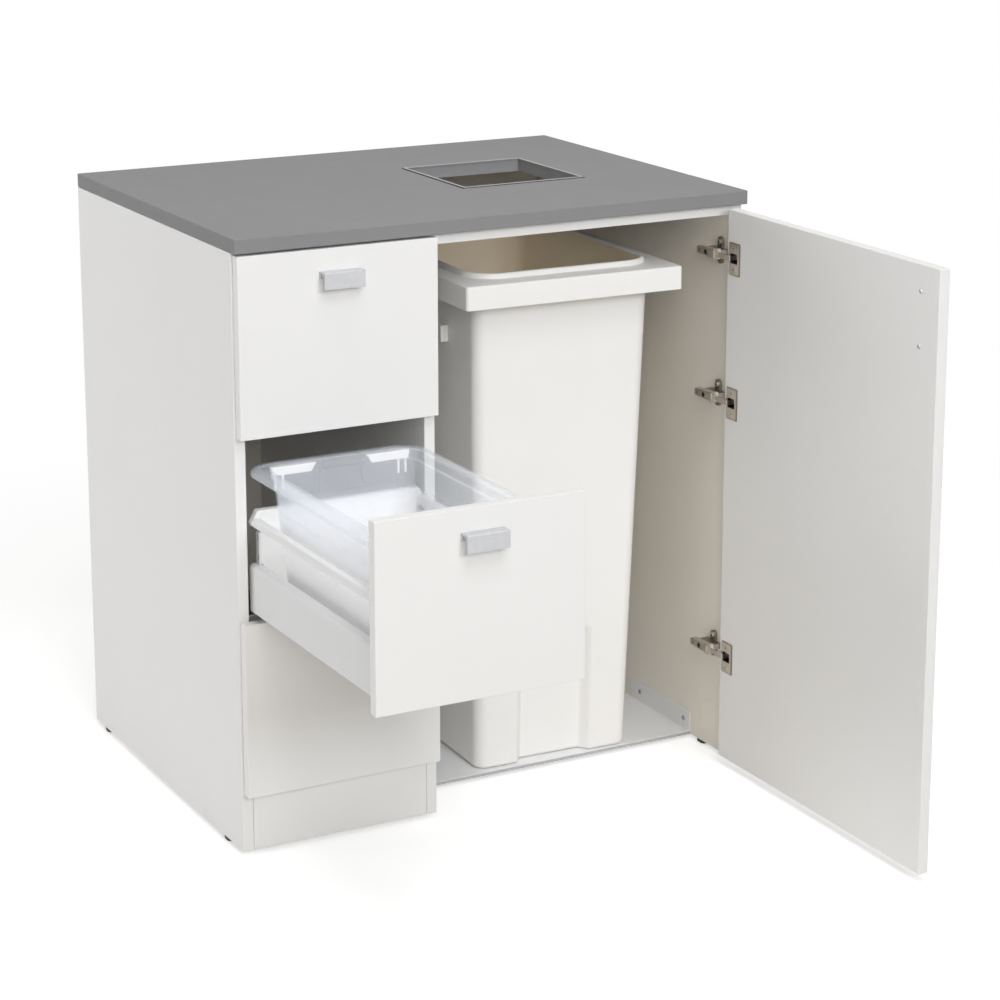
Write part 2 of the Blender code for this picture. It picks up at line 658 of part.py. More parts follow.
def build_drawer(name, frame):
    """One drawer in its own frame: y runs back from the front's rear face, z up from its lower edge."""
    front = block((DRAWER_REVEAL, -FRONT_THICK, 0), (DRAWER_MODULE - DRAWER_REVEAL, 0, FRONT_HEIGHT))
    add_piece(name + "_drawer_front", front, WHITE_MELAMINE, frame)

    start = (DRAWER_MODULE - HANDLE_LENGTH) / 2
    high = FRONT_HEIGHT - HANDLE_DROP
    outline = handle_outline(lambda out, down: (start, -FRONT_THICK - out, high - down))
    add_piece(name + "_drawer_handle", prism(outline, (HANDLE_LENGTH, 0, 0)), BRUSHED_GREY, frame)

    left, right, inner_left, inner_right = side_span()
    build_drawer_side(name + "_drawer_side_left", frame, left + SIDE_CLEAR, 1)
    build_drawer_side(name + "_drawer_side_right", frame, right - SIDE_CLEAR, -1)

    ledge = SIDE_LIFT + SIDE_WALL + SEAT
    rear = DRAWER_LENGTH
    x0, x1 = inner_left + SEAT, inner_right - SEAT
    floor = block((x0, SEAT, ledge), (x1, rear - DRAWER_BACK - SEAT, ledge + DRAWER_FLOOR))
    add_piece(name + "_drawer_floor", floor, WHITE_MELAMINE, frame)

    wing_x0, wing_x1 = left + SIDE_CLEAR, right - SIDE_CLEAR
    shoulder = SIDE_LIFT + SIDE_HEIGHT + SEAT
    top = ledge + DRAWER_BACK_HEIGHT
    cut = top - DRAWER_BACK_CUT_Z
    section = [(x0, ledge), (x1, ledge), (x1, shoulder), (wing_x1, shoulder), (wing_x1, cut),
               (wing_x1 - DRAWER_BACK_CUT_X, top), (wing_x0 + DRAWER_BACK_CUT_X, top),
               (wing_x0, cut), (wing_x0, shoulder), (x0, shoulder)]
    back = prism([(x, rear - DRAWER_BACK, z) for x, z in section], (0, DRAWER_BACK, 0))
    add_piece(name + "_drawer_back", back, WHITE_MELAMINE, frame)


def build_runners(name, cabinet, slides, low):
    """Cabinet members on both boards of the bay, and the slides between them and the drawer."""
    left, right, _, _ = side_span()
    upstand = SIDE_CLEAR + SIDE_WALL + RUNNER_UPSTAND_SETBACK
    sheet, foot = RUNNER_SHEET, -RUNNER_FOOT
    section = [
        (SEAT, foot), (upstand + sheet, foot), (upstand + sheet, RUNNER_UPSTAND),
        (upstand, RUNNER_UPSTAND), (upstand, foot + sheet), (SEAT + sheet, foot + sheet),
        (SEAT + sheet, RUNNER_TALL), (SEAT, RUNNER_TALL),
    ]
    slide_x0 = upstand + sheet + SLIDE_CLEAR
    slide_x1 = SIDE_CLEAR + SIDE_WIDTH - SIDE_WALL - SLIDE_CLEAR
    for side, face, inward in (("left", left, 1), ("right", right, -1)):
        member = prism([(inward * x, 0, z) for x, z in section], (0, RUNNER_LENGTH, 0))
        at = (face, CARCASS_FRONT + RUNNER_SETBACK, low + SIDE_LIFT)
        add_piece("{}_runner_member_{}".format(name, side), member, GALVANISED, cabinet, at)
        x0, x1 = sorted((face + inward * slide_x0, face + inward * slide_x1))
        slide = block((x0, 0, -SLIDE_FOOT), (x1, SLIDE_LENGTH, SLIDE_TALL), edge=0)
        at = (0, RUNNER_SETBACK + FRONT_GAP, SIDE_LIFT)
        add_piece("{}_runner_slide_{}".format(name, side), slide, GALVANISED, slides, at)


def build_tub(frame):
    """The clear tub: drawn-in walls with round corners, a wide rim and a lip turned down around it."""
    left, right, _, _ = side_span()
    low = SIDE_LIFT + SIDE_WALL + SEAT + DRAWER_FLOOR + SEAT
    rim = low + TUB_RIM_HEIGHT
    x0, x1 = left + TUB_SIDE_ROOM, right - TUB_SIDE_ROOM
    y0, y1 = TUB_FRONT_ROOM, DRAWER_LENGTH - DRAWER_BACK + TUB_REAR_OVERHANG
    wall, drop = TUB_WALL, TUB_LIP_DROP

    def loop(z, trim_x, trim_y, radius):
        return rounded(x0 + trim_x, x1 - trim_x, y0 + trim_y, y1 - trim_y, radius, z)

    def shell(z, inset):
        draft = TUB_DRAFT * (rim - z) / (rim - low)
        return loop(z, TUB_LIP + draft + inset, TUB_LIP_END + draft + inset, TUB_BODY_CORNER)

    base = TUB_BASE_ROUND
    loops = [
        shell(low, base), shell(low + base, 0.0), shell(rim - wall, 0.0),
        loop(rim - wall, wall, wall, TUB_CORNER - wall), loop(rim - drop, wall, wall, TUB_CORNER - wall),
        loop(rim - drop, 0.0, 0.0, TUB_CORNER), loop(rim, 0.0, 0.0, TUB_CORNER),
        shell(rim, wall), shell(low + wall + base, wall), shell(low + wall, wall + base),
    ]
    add_piece("tub", loft(loops), CLEAR_PLASTIC, frame)


def build():
    """Every body of the cabinet, from the carcass to the tub."""
    clear_scene()
    cabinet = Frame("cabinet_frame", (0, 0, 0))
    build_worktop(cabinet)
    build_chute_frame(cabinet)
    build_carcass(cabinet)
    build_base_plate(cabinet)
    build_bin(cabinet)

    links = Frame("hinge_links_frame", (PIVOT_X, PIVOT_Y, 0), cabinet)
    door = Frame("door_frame", (PIVOT_X, PIVOT_Y, 0), links)
    build_door(door)
    for place, z in HINGE_HEIGHTS.items():
        build_hinge_arm("hinge_arm_" + place, cabinet, z)
        build_hinge_link("hinge_link_" + place, links, z)
        build_hinge_cup("hinge_cup_" + place, door, z)

    for i, name in enumerate(DRAWER_NAMES):
        low = FRONTS_LOW + FRONT_PITCH * i
        pulled = MIDDLE_PULL if name == "middle" else 0.0
        drawer = Frame(name + "_drawer_frame", (0, FRONT_REAR_FACE - pulled, low), cabinet)
        slides = Frame(name + "_runner_frame", (0, FRONT_REAR_FACE - pulled / 2, low), cabinet)
        build_drawer(name, drawer)
        build_runners(name, cabinet, slides, low)
        if name == "middle":
            build_tub(drawer)


build()
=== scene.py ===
"""Looks of the recycling bin cabinet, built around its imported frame.

The frame gives every node's place in metres, +Z up, with the front facing -Y. Each class below makes the
finer meshes of one sub-assembly, dresses them, and lets them ride on the bodies of the frame.
"""

from __future__ import annotations

import json
import logging
import math
from dataclasses import dataclass, replace
from enum import Enum
from typing import Any, Callable, Iterable, Mapping, Sequence, Union

import bmesh
import bpy
from mathutils import Matrix, Vector

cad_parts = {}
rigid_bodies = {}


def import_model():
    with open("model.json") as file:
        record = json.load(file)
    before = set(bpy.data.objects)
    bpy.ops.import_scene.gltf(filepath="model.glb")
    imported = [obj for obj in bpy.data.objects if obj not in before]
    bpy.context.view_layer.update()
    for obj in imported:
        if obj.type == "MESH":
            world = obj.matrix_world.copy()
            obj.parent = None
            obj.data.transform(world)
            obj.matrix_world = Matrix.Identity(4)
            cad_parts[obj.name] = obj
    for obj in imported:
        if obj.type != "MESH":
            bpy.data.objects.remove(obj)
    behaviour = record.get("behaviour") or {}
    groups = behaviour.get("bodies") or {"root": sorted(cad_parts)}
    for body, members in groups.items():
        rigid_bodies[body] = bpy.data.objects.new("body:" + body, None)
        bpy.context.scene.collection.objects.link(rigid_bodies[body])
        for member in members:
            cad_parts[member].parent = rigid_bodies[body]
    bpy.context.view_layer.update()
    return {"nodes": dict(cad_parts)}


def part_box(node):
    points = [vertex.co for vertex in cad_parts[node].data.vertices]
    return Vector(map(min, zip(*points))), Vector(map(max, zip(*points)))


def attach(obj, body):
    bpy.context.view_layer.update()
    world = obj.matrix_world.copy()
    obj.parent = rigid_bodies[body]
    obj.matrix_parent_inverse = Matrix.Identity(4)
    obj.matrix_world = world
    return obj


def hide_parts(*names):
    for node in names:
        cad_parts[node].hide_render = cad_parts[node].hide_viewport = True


LOG = logging.getLogger("bin_cabinet")

Colour = tuple[float, float, float]
Place = tuple[float, float, float]
Triple = tuple[float, float, float]
Profile = tuple[tuple[float, float], ...]
EdgeTest = Callable[[bmesh.types.BMEdge], bool]

# How near two points, a point and a plane, and a point and a region have to lie, in metres
SAME_POINT = 1e-6
SAME_PLANE = 1e-7
REGION_SLACK = 1e-5

# The least cosine at which a face looks one way, and at which an edge lies along an axis
FACING = 0.9
ALONG = 0.99

# Quarter rounds in shares of their radius: the middle rung's place, and a foot's rungs, up and inwards
ROUND_MIDDLE = 0.3
FOOT_ROUND = ((0.0, 1.0), (0.13, 0.5), (0.5, 0.13), (1.0, 0.0))

# The air that fitted parts keep from each other, and the angle above which a softened edge is still sharp
AIR = 0.0003
STILL_SHARP = 60.0


class Axis(Enum):
    """A direction of the frame."""

    X = 0
    Y = 1
    Z = 2

    def vector(self, length: float = 1.0) -> Vector:
        """A vector along this axis, or against it if its length is below zero."""
        return Vector([length if axis is self else 0.0 for axis in Axis])


TO_RIGHT, TO_LEFT = Axis.X.vector(), Axis.X.vector(-1.0)
TO_REAR, TO_FRONT = Axis.Y.vector(), Axis.Y.vector(-1.0)
UP, DOWN = Axis.Z.vector(), Axis.Z.vector(-1.0)


class Row(Enum):
    """A place in a column of three: the drawers, and the hinges."""

    TOP = "top"
    MIDDLE = "middle"
    BOTTOM = "bottom"


class Hand(Enum):
    """Left or right. The value is the sign of the way that leads inwards from there."""

    LEFT = 1
    RIGHT = -1

    @property
    def word(self) -> str:
        """The side's name in node names."""
        return self.name.lower()

    def outer(self, low: Vector, high: Vector) -> float:
        """Where a box's outer face lies across the cabinet."""
        return low.x if self is Hand.LEFT else high.x

    def span(self, face: float, start: float, end: float) -> tuple[float, float]:
        """Two depths inwards from an outer face, as places across the cabinet in rising order."""
        first, last = sorted((face + self.value * start, face + self.value * end))
        return first, last


# Shader recipes

class Signal:
    """A number in a node tree. Its operators add Math nodes."""

    def __init__(self, graph: Graph, socket: bpy.types.NodeSocket) -> None:
        """Wrap one output socket of a graph."""
        self.graph = graph
        self.socket = socket

    def _math(self, operation: str, first: Number, second: Number) -> Signal:
        """Add one Math node and wrap its result."""
        node = self.graph.node("ShaderNodeMath", {"operation": operation}, {0: first, 1: second})
        return Signal(self.graph, node.outputs[0])

    def __add__(self, other: Number) -> Signal:
        """Sum."""
        return self._math("ADD", self, other)

    def __radd__(self, other: Number) -> Signal:
        """Sum, with the number first."""
        return self._math("ADD", other, self)

    def __sub__(self, other: Number) -> Signal:
        """Difference."""
        return self._math("SUBTRACT", self, other)

    def __rsub__(self, other: Number) -> Signal:
        """Difference, with the number first."""
        return self._math("SUBTRACT", other, self)

    def __mul__(self, other: Number) -> Signal:
        """Product."""
        return self._math("MULTIPLY", self, other)

    def __rmul__(self, other: Number) -> Signal:
        """Product, with the number first."""
        return self._math("MULTIPLY", other, self)

    def __or__(self, other: Number) -> Signal:
        """The larger of the two."""
        return self._math("MAXIMUM", self, other)

    def __ror__(self, other: Number) -> Signal:
        """The larger of the two, with the number first."""
        return self._math("MAXIMUM", other, self)


Number = Union[Signal, float]


class Graph:
    """A node tree, of a material or of the world."""

    def __init__(self, tree: bpy.types.NodeTree) -> None:
        """Wrap a tree."""
        self.tree = tree

    def node(self, kind: str, settings: Mapping[str, Any], inputs: Mapping[Any, Any]) -> bpy.types.Node:
        """Add a node.

        Args:
            kind: The node's Blender type.
            settings: Properties of the node, set first.
            inputs: Values, sockets or signals for its inputs, by name or number.

        Returns:
            The new node.
        """
        node = self.tree.nodes.new(kind)
        for key, value in settings.items():
            setattr(node, key, value)
        for key, value in inputs.items():
            self.feed(node.inputs[key], value)
        return node

    def feed(self, socket: bpy.types.NodeSocket, value: Any) -> None:
        """Link or set an input.

        Args:
            socket: The input.
            value: A socket or a signal to link to it, or else the value to set.
        """
        if isinstance(value, Signal):
            value = value.socket
        if isinstance(value, bpy.types.NodeSocket):
            self.tree.links.new(value, socket)
        else:
            socket.default_value = value

    def seen(self) -> Signal:
        """Single out the rays that show the background as white.

        Returns:
            One for camera, glossy and transmission rays, and nought for the rest.
        """
        path = self.node("ShaderNodeLightPath", {}, {})
        camera, glossy, clear = [Signal(self, path.outputs["Is {} Ray".format(kind)])
                                 for kind in ("Camera", "Glossy", "Transmission")]
        return camera | glossy | clear

    def choose(self, share: Number, first: bpy.types.Node, second: bpy.types.Node) -> bpy.types.Node:
        """Mix two shaders by a signal."""
        inputs = {0: share, 1: first.outputs[0], 2: second.outputs[0]}
        return self.node("ShaderNodeMixShader", {}, inputs)


class Recipe(Graph):
    """The node tree of one material, around its Principled shader."""

    def __init__(self, name: str) -> None:
        """Start a material with a plain shader and its Object coordinates.

        Args:
            name: The material's name.
        """
        self.material = bpy.data.materials.new(name)
        self.material.use_nodes = True
        super().__init__(self.material.node_tree)
        self.shader = self.tree.nodes["Principled BSDF"]
        self.place = self.node("ShaderNodeTexCoord", {}, {}).outputs["Object"]

    def set(self, name: str, value: Any) -> None:
        """Feed one input of the shader, by its name."""
        self.feed(self.shader.inputs[name], value)

    def noise(self, scale: float, detail: float = 2.0, stretch: Triple = (1.0, 1.0, 1.0)) -> Signal:
        """Noise between 0 and 1.

        Args:
            scale: Features in a metre.
            detail: How many finer layers are added.
            stretch: How much denser the noise is along each axis.

        Returns:
            The noise as a signal.
        """
        place = self.node("ShaderNodeMapping", {}, {"Vector": self.place, "Scale": stretch}).outputs[0]
        made = self.node("ShaderNodeTexNoise", {}, {"Vector": place, "Scale": scale, "Detail": detail})
        return Signal(self, made.outputs[0])

    def cells(self, scale: float) -> Signal:
        """A flat grey for each cell of a random pattern.

        Args:
            scale: Cells in a metre.

        Returns:
            The grey as a signal, between 0 and 1.
        """
        made = self.node("ShaderNodeTexVoronoi", {}, {"Vector": self.place, "Scale": scale})
        parts = self.node("ShaderNodeSeparateColor", {}, {0: made.outputs["Color"]})
        return Signal(self, parts.outputs[0])

    def along(self, axis: Axis, start: float, end: float) -> Signal:
        """A ramp between two places on an axis.

        Args:
            axis: The axis.
            start: Where the ramp is 0.
            end: Where it is 1.

        Returns:
            The ramp as a signal.
        """
        parts = self.node("ShaderNodeSeparateXYZ", {}, {0: self.place})
        spread = {0: parts.outputs[axis.value], 1: start, 2: end}
        return Signal(self, self.node("ShaderNodeMapRange", {"clamp": True}, spread).outputs[0])

    def shadow(self) -> Signal:
        """One for rays that ask for a lamp's light, and nought for the rest."""
        return Signal(self, self.node("ShaderNodeLightPath", {}, {}).outputs["Is Shadow Ray"])

    def tint(self, share: Signal, first: Colour, second: Colour) -> None:
        """Mix the base colour of two colours by a signal."""
        inputs = {0: share, 6: (*first, 1.0), 7: (*second, 1.0)}
        self.set("Base Color", self.node("ShaderNodeMix", {"data_type": "RGBA"}, inputs).outputs[2])

    def vary(self, share: Signal, colour: Colour, spread: float) -> None:
        """Let the base colour run from darker to lighter with a signal, by a spread to each side."""
        self.tint(share, shaded(colour, 1 - spread), shaded(colour, 1 + spread))

    def wander(self, share: Signal, middle: float, swing: float) -> None:
        """Let the roughness run with a signal, by a swing in all about its middle."""
        self.set("Roughness", share * swing + (middle - swing / 2))

    def relief(self, height: Signal, depth: float) -> None:
        """Let a signal raise the surface by a depth in metres."""
        made = self.node("ShaderNodeBump", {}, {"Height": height, "Strength": 1.0, "Distance": depth})
        self.set("Normal", made.outputs[0])


def shaded(colour: Colour, factor: float) -> Colour:
    """A colour made darker or lighter by a factor."""
    return (colour[0] * factor, colour[1] * factor, colour[2] * factor)


@dataclass(frozen=True)
class Finish:
    """A surface finish: its name, the record's slot, its colour and its roughness."""

    name: str
    slot: str
    colour: Colour
    roughness: float

    def material(self) -> bpy.types.Material:
        """Make the material of this finish.

        Returns:
            The material.
        """
        recipe = Recipe(self.name)
        self.dress(recipe)
        return recipe.material

    def dress(self, recipe: Recipe) -> None:
        """Build the finish in a recipe, in the way of its kind."""
        raise NotImplementedError


@dataclass(frozen=True)
class BoardFinish(Finish):
    """Melamine, laminate or coated sheet: a fine grain, faint clouding, and patches of duller gloss."""

    grain: float = 1500.0
    grain_depth: float = 0.00003
    clouding: float = 0.012
    speckle: float = 0.0
    gloss: float = 0.32
    cloud_scale: float = 7.0
    speckle_scale: float = 0.6
    speckle_tone: float = 0.25
    patch_scale: float = 30.0
    patch_swing: float = 0.10
    wave_scale: float = 260.0
    wave_share: float = 0.8

    def dress(self, recipe: Recipe) -> None:
        """Build grain, clouding, speckle and gloss.

        Args:
            recipe: The material's recipe.
        """
        fine = recipe.noise(self.grain, detail=3.0)
        share = recipe.noise(self.cloud_scale, detail=3.0)
        if self.speckle:
            specks = recipe.noise(self.grain * self.speckle_scale, detail=4.0)
            share = share * (1.0 - self.speckle) + specks * self.speckle
        recipe.vary(share, self.colour, self.clouding + self.speckle * self.speckle_tone)
        recipe.wander(recipe.noise(self.patch_scale, detail=4.0), self.roughness, self.patch_swing)
        recipe.set("Specular IOR Level", self.gloss)
        recipe.relief(fine + recipe.noise(self.wave_scale) * self.wave_share, self.grain_depth)


@dataclass(frozen=True)
class MouldedFinish(Finish):
    """Moulded plastic: a fine spark-eroded skin with faint flow marks."""

    skin: float = 2600.0
    skin_depth: float = 0.00004
    flow: float = 0.015
    flow_scale: float = 9.0
    flow_stretch: Triple = (1.0, 1.0, 0.35)
    gloss_scale: float = 45.0
    gloss_swing: float = 0.08
    dimple_scale: float = 60.0
    dimple_share: float = 0.6

    def dress(self, recipe: Recipe) -> None:
        """Build skin, flow marks and a gloss that wanders a little.

        Args:
            recipe: The material's recipe.
        """
        flow = recipe.noise(self.flow_scale, detail=3.0, stretch=self.flow_stretch)
        recipe.vary(flow, self.colour, self.flow)
        recipe.wander(recipe.noise(self.gloss_scale, detail=3.0), self.roughness, self.gloss_swing)
        dimples = recipe.noise(self.dimple_scale) * self.dimple_share
        recipe.relief(recipe.noise(self.skin) + dimples, self.skin_depth)


@dataclass(frozen=True)
class ClearFinish(Finish):
    """Clear moulded plastic that scatters some light, and grows hazier and whiter between two heights,
    painted light for light shining through it.
    """

    body: float
    cloud: float
    haze_painted_light: float = 0.0
    haze_painted_light_from: float = 0.0
    haze_painted_light_to: float = 1.0
    haze_painted_light_colour: Colour = (0.955, 0.95, 0.955)
    passing: float = 0.92
    flow_scale: float = 11.0
    flow_stretch: Triple = (1.0, 1.0, 0.4)
    flow_tone: float = 0.06
    gloss_scale: float = 40.0
    gloss_swing: float = 0.06

    def dress(self, recipe: Recipe) -> None:
        """Build the colour, the see-through share and a soft gloss. Most of a lamp's light passes.

        Args:
            recipe: The material's recipe.
        """
        flow = recipe.noise(self.flow_scale, stretch=self.flow_stretch)
        # Between the two heights the plastic turns whiter and less clear: painted light for light shining
        # through
        ramp = recipe.along(Axis.Z, self.haze_painted_light_from, self.haze_painted_light_to)
        share = flow * (2 * self.cloud) + (self.body - self.cloud) + ramp * self.haze_painted_light
        recipe.tint(ramp * (1.0 - self.flow_tone) + flow * self.flow_tone, self.colour, self.haze_painted_light_colour)
        recipe.set("Alpha", share * (1.0 - recipe.shadow() * self.passing))
        recipe.wander(recipe.noise(self.gloss_scale), self.roughness, self.gloss_swing)


@dataclass(frozen=True)
class MetalFinish(Finish):
    """Plated or brushed metal: streaks along one axis, and patches of another tone."""

    metallic: float = 1.0
    streak: Triple = (1.0, 1.0, 1.0)
    contrast: float = 0.06
    streak_scale: float = 420.0
    streak_depth: float = 0.00002
    streak_swing: float = 0.14
    patch_scale: float = 180.0
    patch_share: float = 0.5

    def dress(self, recipe: Recipe) -> None:
        """Build streaks, patches and gloss.

        Args:
            recipe: The material's recipe.
        """
        streaks = recipe.noise(self.streak_scale, detail=3.0, stretch=self.streak)
        patches = recipe.cells(self.patch_scale) * self.patch_share
        recipe.vary(streaks * (1.0 - self.patch_share) + patches, self.colour, self.contrast)
        recipe.set("Metallic", self.metallic)
        recipe.wander(streaks, self.roughness, self.streak_swing)
        recipe.relief(streaks, self.streak_depth)


WHITE = BoardFinish("white_melamine", "white_melamine", (0.86, 0.857, 0.85), 0.45)
# The white with a warm tint: painted warm shade for the inner faces of the cabinet
PAINTED_WARM_SHADE_WHITE = BoardFinish("inner_melamine", "white_melamine", (0.90, 0.862, 0.785), 0.45)
GREY_TOP = BoardFinish("grey_laminate", "grey_laminate", (0.262, 0.262, 0.268), 0.60, grain=1100.0,
                       grain_depth=0.00004, clouding=0.015, speckle=0.10, gloss=0.10)
COATED = BoardFinish("white_coated_sheet", "white_sheet", (0.76, 0.765, 0.77), 0.36, grain=700.0,
                     grain_depth=0.00004, clouding=0.010)
PLATE = BoardFinish("coated_plate", "white_sheet", (0.86, 0.86, 0.865), 0.40, grain=700.0,
                    grain_depth=0.00004, clouding=0.010)
PLATE_EDGE = BoardFinish("plate_edge", "white_sheet", (0.47, 0.475, 0.485), 0.45, grain=1800.0,
                         grain_depth=0.00001, clouding=0.020)
BIN_WHITE = MouldedFinish("white_moulded", "white_plastic", (0.885, 0.875, 0.86), 0.42)
BIN_PAINTED_SHADE = MouldedFinish("bin_inside_painted_shade", "white_plastic", (0.90, 0.80, 0.63), 0.45)
INSERT_GREY = MouldedFinish("grey_moulded", "grey_plastic", (0.30, 0.305, 0.315), 0.38)
# A lighter grey for the upward faces of the insert's rim: a painted highlight
INSERT_PAINTED_HIGHLIGHT = MouldedFinish("grey_moulded_rim", "grey_plastic", (0.40, 0.395, 0.40), 0.34)
BLACK = MouldedFinish("black_moulded", "black_plastic", (0.012, 0.012, 0.013), 0.48)
CLEAR = ClearFinish("clear_moulded", "clear_plastic", (0.885, 0.93, 0.995), 0.20, body=0.27, cloud=0.03)
FROSTED = ClearFinish("frosted_moulded", "clear_plastic", (0.90, 0.905, 0.93), 0.30, body=0.80, cloud=0.05)
NICKEL = MetalFinish("nickel_plate", "nickel", (0.60, 0.55, 0.48), 0.30)
# A darker, browner nickel for the hinges' under plates, wing plates and blocks; behind the arm this darkness
# is painted shade
DARKER_NICKEL_SHADE = MetalFinish("dull_nickel", "nickel", (0.30, 0.265, 0.23), 0.40)
ZINC = MetalFinish("zinc_plate", "galvanised", (0.56, 0.57, 0.58), 0.42, contrast=0.12)
SATIN_X = MetalFinish("satin_grey_level", "brushed_grey", (0.60, 0.605, 0.625), 0.50, metallic=0.20,
                      streak=(0.05, 3.0, 3.0))
SATIN_Z = MetalFinish("satin_grey_upright", "brushed_grey", (0.60, 0.605, 0.625), 0.50, metallic=0.20,
                      streak=(3.0, 3.0, 0.05))


# Meshes

def axis_of(way: Vector) -> Axis:
    """The axis that a direction lies on."""
    return next(axis for axis in Axis if way[axis.value])


def moved_to(corner: Sequence[float], axis: Axis, value: float) -> Vector:
    """A corner with its place on one axis changed."""
    return Vector([value if other is axis else corner[other.value] for other in Axis])


def fresh_verts(made: Mapping[str, Any]) -> list[bmesh.types.BMVert]:
    """The vertices that an extruding operator has made."""
    return [item for item in made["geom"] if isinstance(item, bmesh.types.BMVert)]


@dataclass(frozen=True)
class Section:
    """A level rounded rectangle, one rung of a loft."""

    x0: float
    x1: float
    y0: float
    y1: float
    radius: float
    z: float
    steps: int = 6

    def points(self) -> list[Vector]:
        """Draw the four corner arcs.

        Returns:
            Their points in order, against the clock from the +X +Y corner.
        """
        r = self.radius
        centres = ((self.x1 - r, self.y1 - r), (self.x0 + r, self.y1 - r),
                   (self.x0 + r, self.y0 + r), (self.x1 - r, self.y0 + r))
        made = []
        for quarter, (x, y) in enumerate(centres):
            for step in range(self.steps + 1):
                angle = math.pi / 2 * (quarter + step / self.steps)
                made.append(Vector((x + r * math.cos(angle), y + r * math.sin(angle), self.z)))
        return made


class Form:
    """A mesh in the making: a bmesh with the few operators that the pieces need."""

    def __init__(self) -> None:
        """Start empty."""
        self.bm = bmesh.new()

    @classmethod
    def cube(cls, low: Sequence[float], high: Sequence[float]) -> Form:
        """A box.

        Args:
            low: Its lowest corner.
            high: Its highest corner.

        Returns:
            The closed form.
        """
        form = cls()
        first, last = Vector(low), Vector(high)
        bmesh.ops.create_cube(form.bm, size=1.0)
        bmesh.ops.scale(form.bm, vec=last - first, verts=form.bm.verts)
        bmesh.ops.translate(form.bm, vec=(first + last) / 2, verts=form.bm.verts)
        return form

    @classmethod
    def prism(cls, outline: Iterable[Vector], along: Vector) -> Form:
        """A flat outline, extruded.

        Args:
            outline: Its points in order.
            along: How far and which way it is extruded.

        Returns:
            The closed form.
        """
        form = cls()
        face = form.bm.faces.new([form.bm.verts.new(point) for point in outline])
        made = bmesh.ops.extrude_face_region(form.bm, geom=[face])
        bmesh.ops.translate(form.bm, vec=along, verts=fresh_verts(made))
        return form

    @classmethod
    def loft(cls, sections: Sequence[Section], ring: bool = False) -> Form:
        """A skin over level sections.

        Args:
            sections: The rungs, from the first to the last.
            ring: Whether the last rung joins the first. Otherwise both ends are capped.

        Returns:
            The closed form.
        """
        form = cls()
        rungs = [section.points() for section in sections]
        if ring:
            rungs.append(rungs[0])
        made = bmesh.ops.create_circle(form.bm, cap_ends=False, radius=1.0, segments=len(rungs[0]))
        row = sorted(made["verts"], key=lambda vert: math.atan2(vert.co.y, vert.co.x) % math.tau)
        for vert, point in zip(row, rungs[0]):
            vert.co = point
        for points in rungs[1:]:
            edges = [form.bm.edges.get((row[i - 1], row[i])) for i in range(len(row))]
            fresh = set(fresh_verts(bmesh.ops.extrude_edge_only(form.bm, edges=edges)))
            row = [next(edge.other_vert(vert) for edge in vert.link_edges if edge.other_vert(vert) in fresh)
                   for vert in row]
            for vert, point in zip(row, points):
                vert.co = point
        if ring:
            form.weld()
        else:
            form.close()
        return form.outward()

    def cut(self, axis: Axis, *values: float) -> Form:
        """Add edges where planes meet the mesh.

        Args:
            axis: The axis that the planes stand square to.
            values: Their places on it.

        Returns:
            This form.
        """
        for value in values:
            geom = self.bm.verts[:] + self.bm.edges[:] + self.bm.faces[:]
            bmesh.ops.bisect_plane(self.bm, geom=geom, dist=SAME_PLANE, plane_co=axis.vector(value),
                                   plane_no=axis.vector())
        return self

    def faces(self, facing: Vector, low: Sequence[float], high: Sequence[float]) -> list[bmesh.types.BMFace]:
        """Find faces.

        Args:
            facing: The way that they look.
            low: The lowest corner of the region that their middles lie in.
            high: The highest corner.

        Returns:
            The faces.
        """
        self.bm.normal_update()
        found = []
        for face in self.bm.faces:
            middle = face.calc_center_median()
            inside = all(low[i] - REGION_SLACK <= middle[i] <= high[i] + REGION_SLACK for i in range(3))
            if inside and face.normal.dot(facing) > FACING:
                found.append(face)
        return found

    def extrude(self, faces: Sequence[bmesh.types.BMFace], along: Vector) -> list[bmesh.types.BMVert]:
        """Extrude faces that have neighbours.

        Args:
            faces: The faces.
            along: How far and which way they move.

        Returns:
            The vertices that moved.
        """
        edges = list(dict.fromkeys(edge for face in faces for edge in face.edges))
        moved = fresh_verts(bmesh.ops.extrude_face_region(self.bm, geom=[*faces, *edges]))
        bmesh.ops.translate(self.bm, vec=along, verts=moved)
        return moved

    def push(self, facing: Vector, low: Sequence[float], high: Sequence[float], distance: float) -> Form:
        """Extrude the faces that look one way and lie in a region.

        Args:
            facing: The way that the faces look.
            low: The region's lowest corner.
            high: Its highest corner.
            distance: How far they move along that way, or against it if below zero.

        Returns:
            This form.
        """
        self.extrude(self.faces(facing, low, high), facing * distance)
        return self

    def drop(self, facing: Vector, low: Sequence[float], high: Sequence[float]) -> Form:
        """Delete the faces that look one way and lie in a region."""
        bmesh.ops.delete(self.bm, geom=self.faces(facing, low, high), context="FACES")
        return self

    def pierce(self, facing: Vector, low: Sequence[float], high: Sequence[float],
               through: bool = True) -> Form:
        """Sink a square hole.

        Args:
            facing: The way that the face with the hole's mouth looks.
            low: The hole's lowest corner.
            high: Its highest corner.
            through: Whether the hole also opens in the face at its other end.

        Returns:
            This form.
        """
        axis = axis_of(facing)
        for other in Axis:
            if other is not axis:
                self.cut(other, low[other.value], high[other.value])
        first, last = low[axis.value], high[axis.value]
        mouth, end = (first, last) if facing[axis.value] < 0 else (last, first)
        self.push(facing, moved_to(low, axis, mouth), moved_to(high, axis, mouth), first - last)
        if through:
            far = (moved_to(low, axis, end), moved_to(high, axis, end))
            self.drop(facing, *far).drop(-facing, *far).weld()
        return self

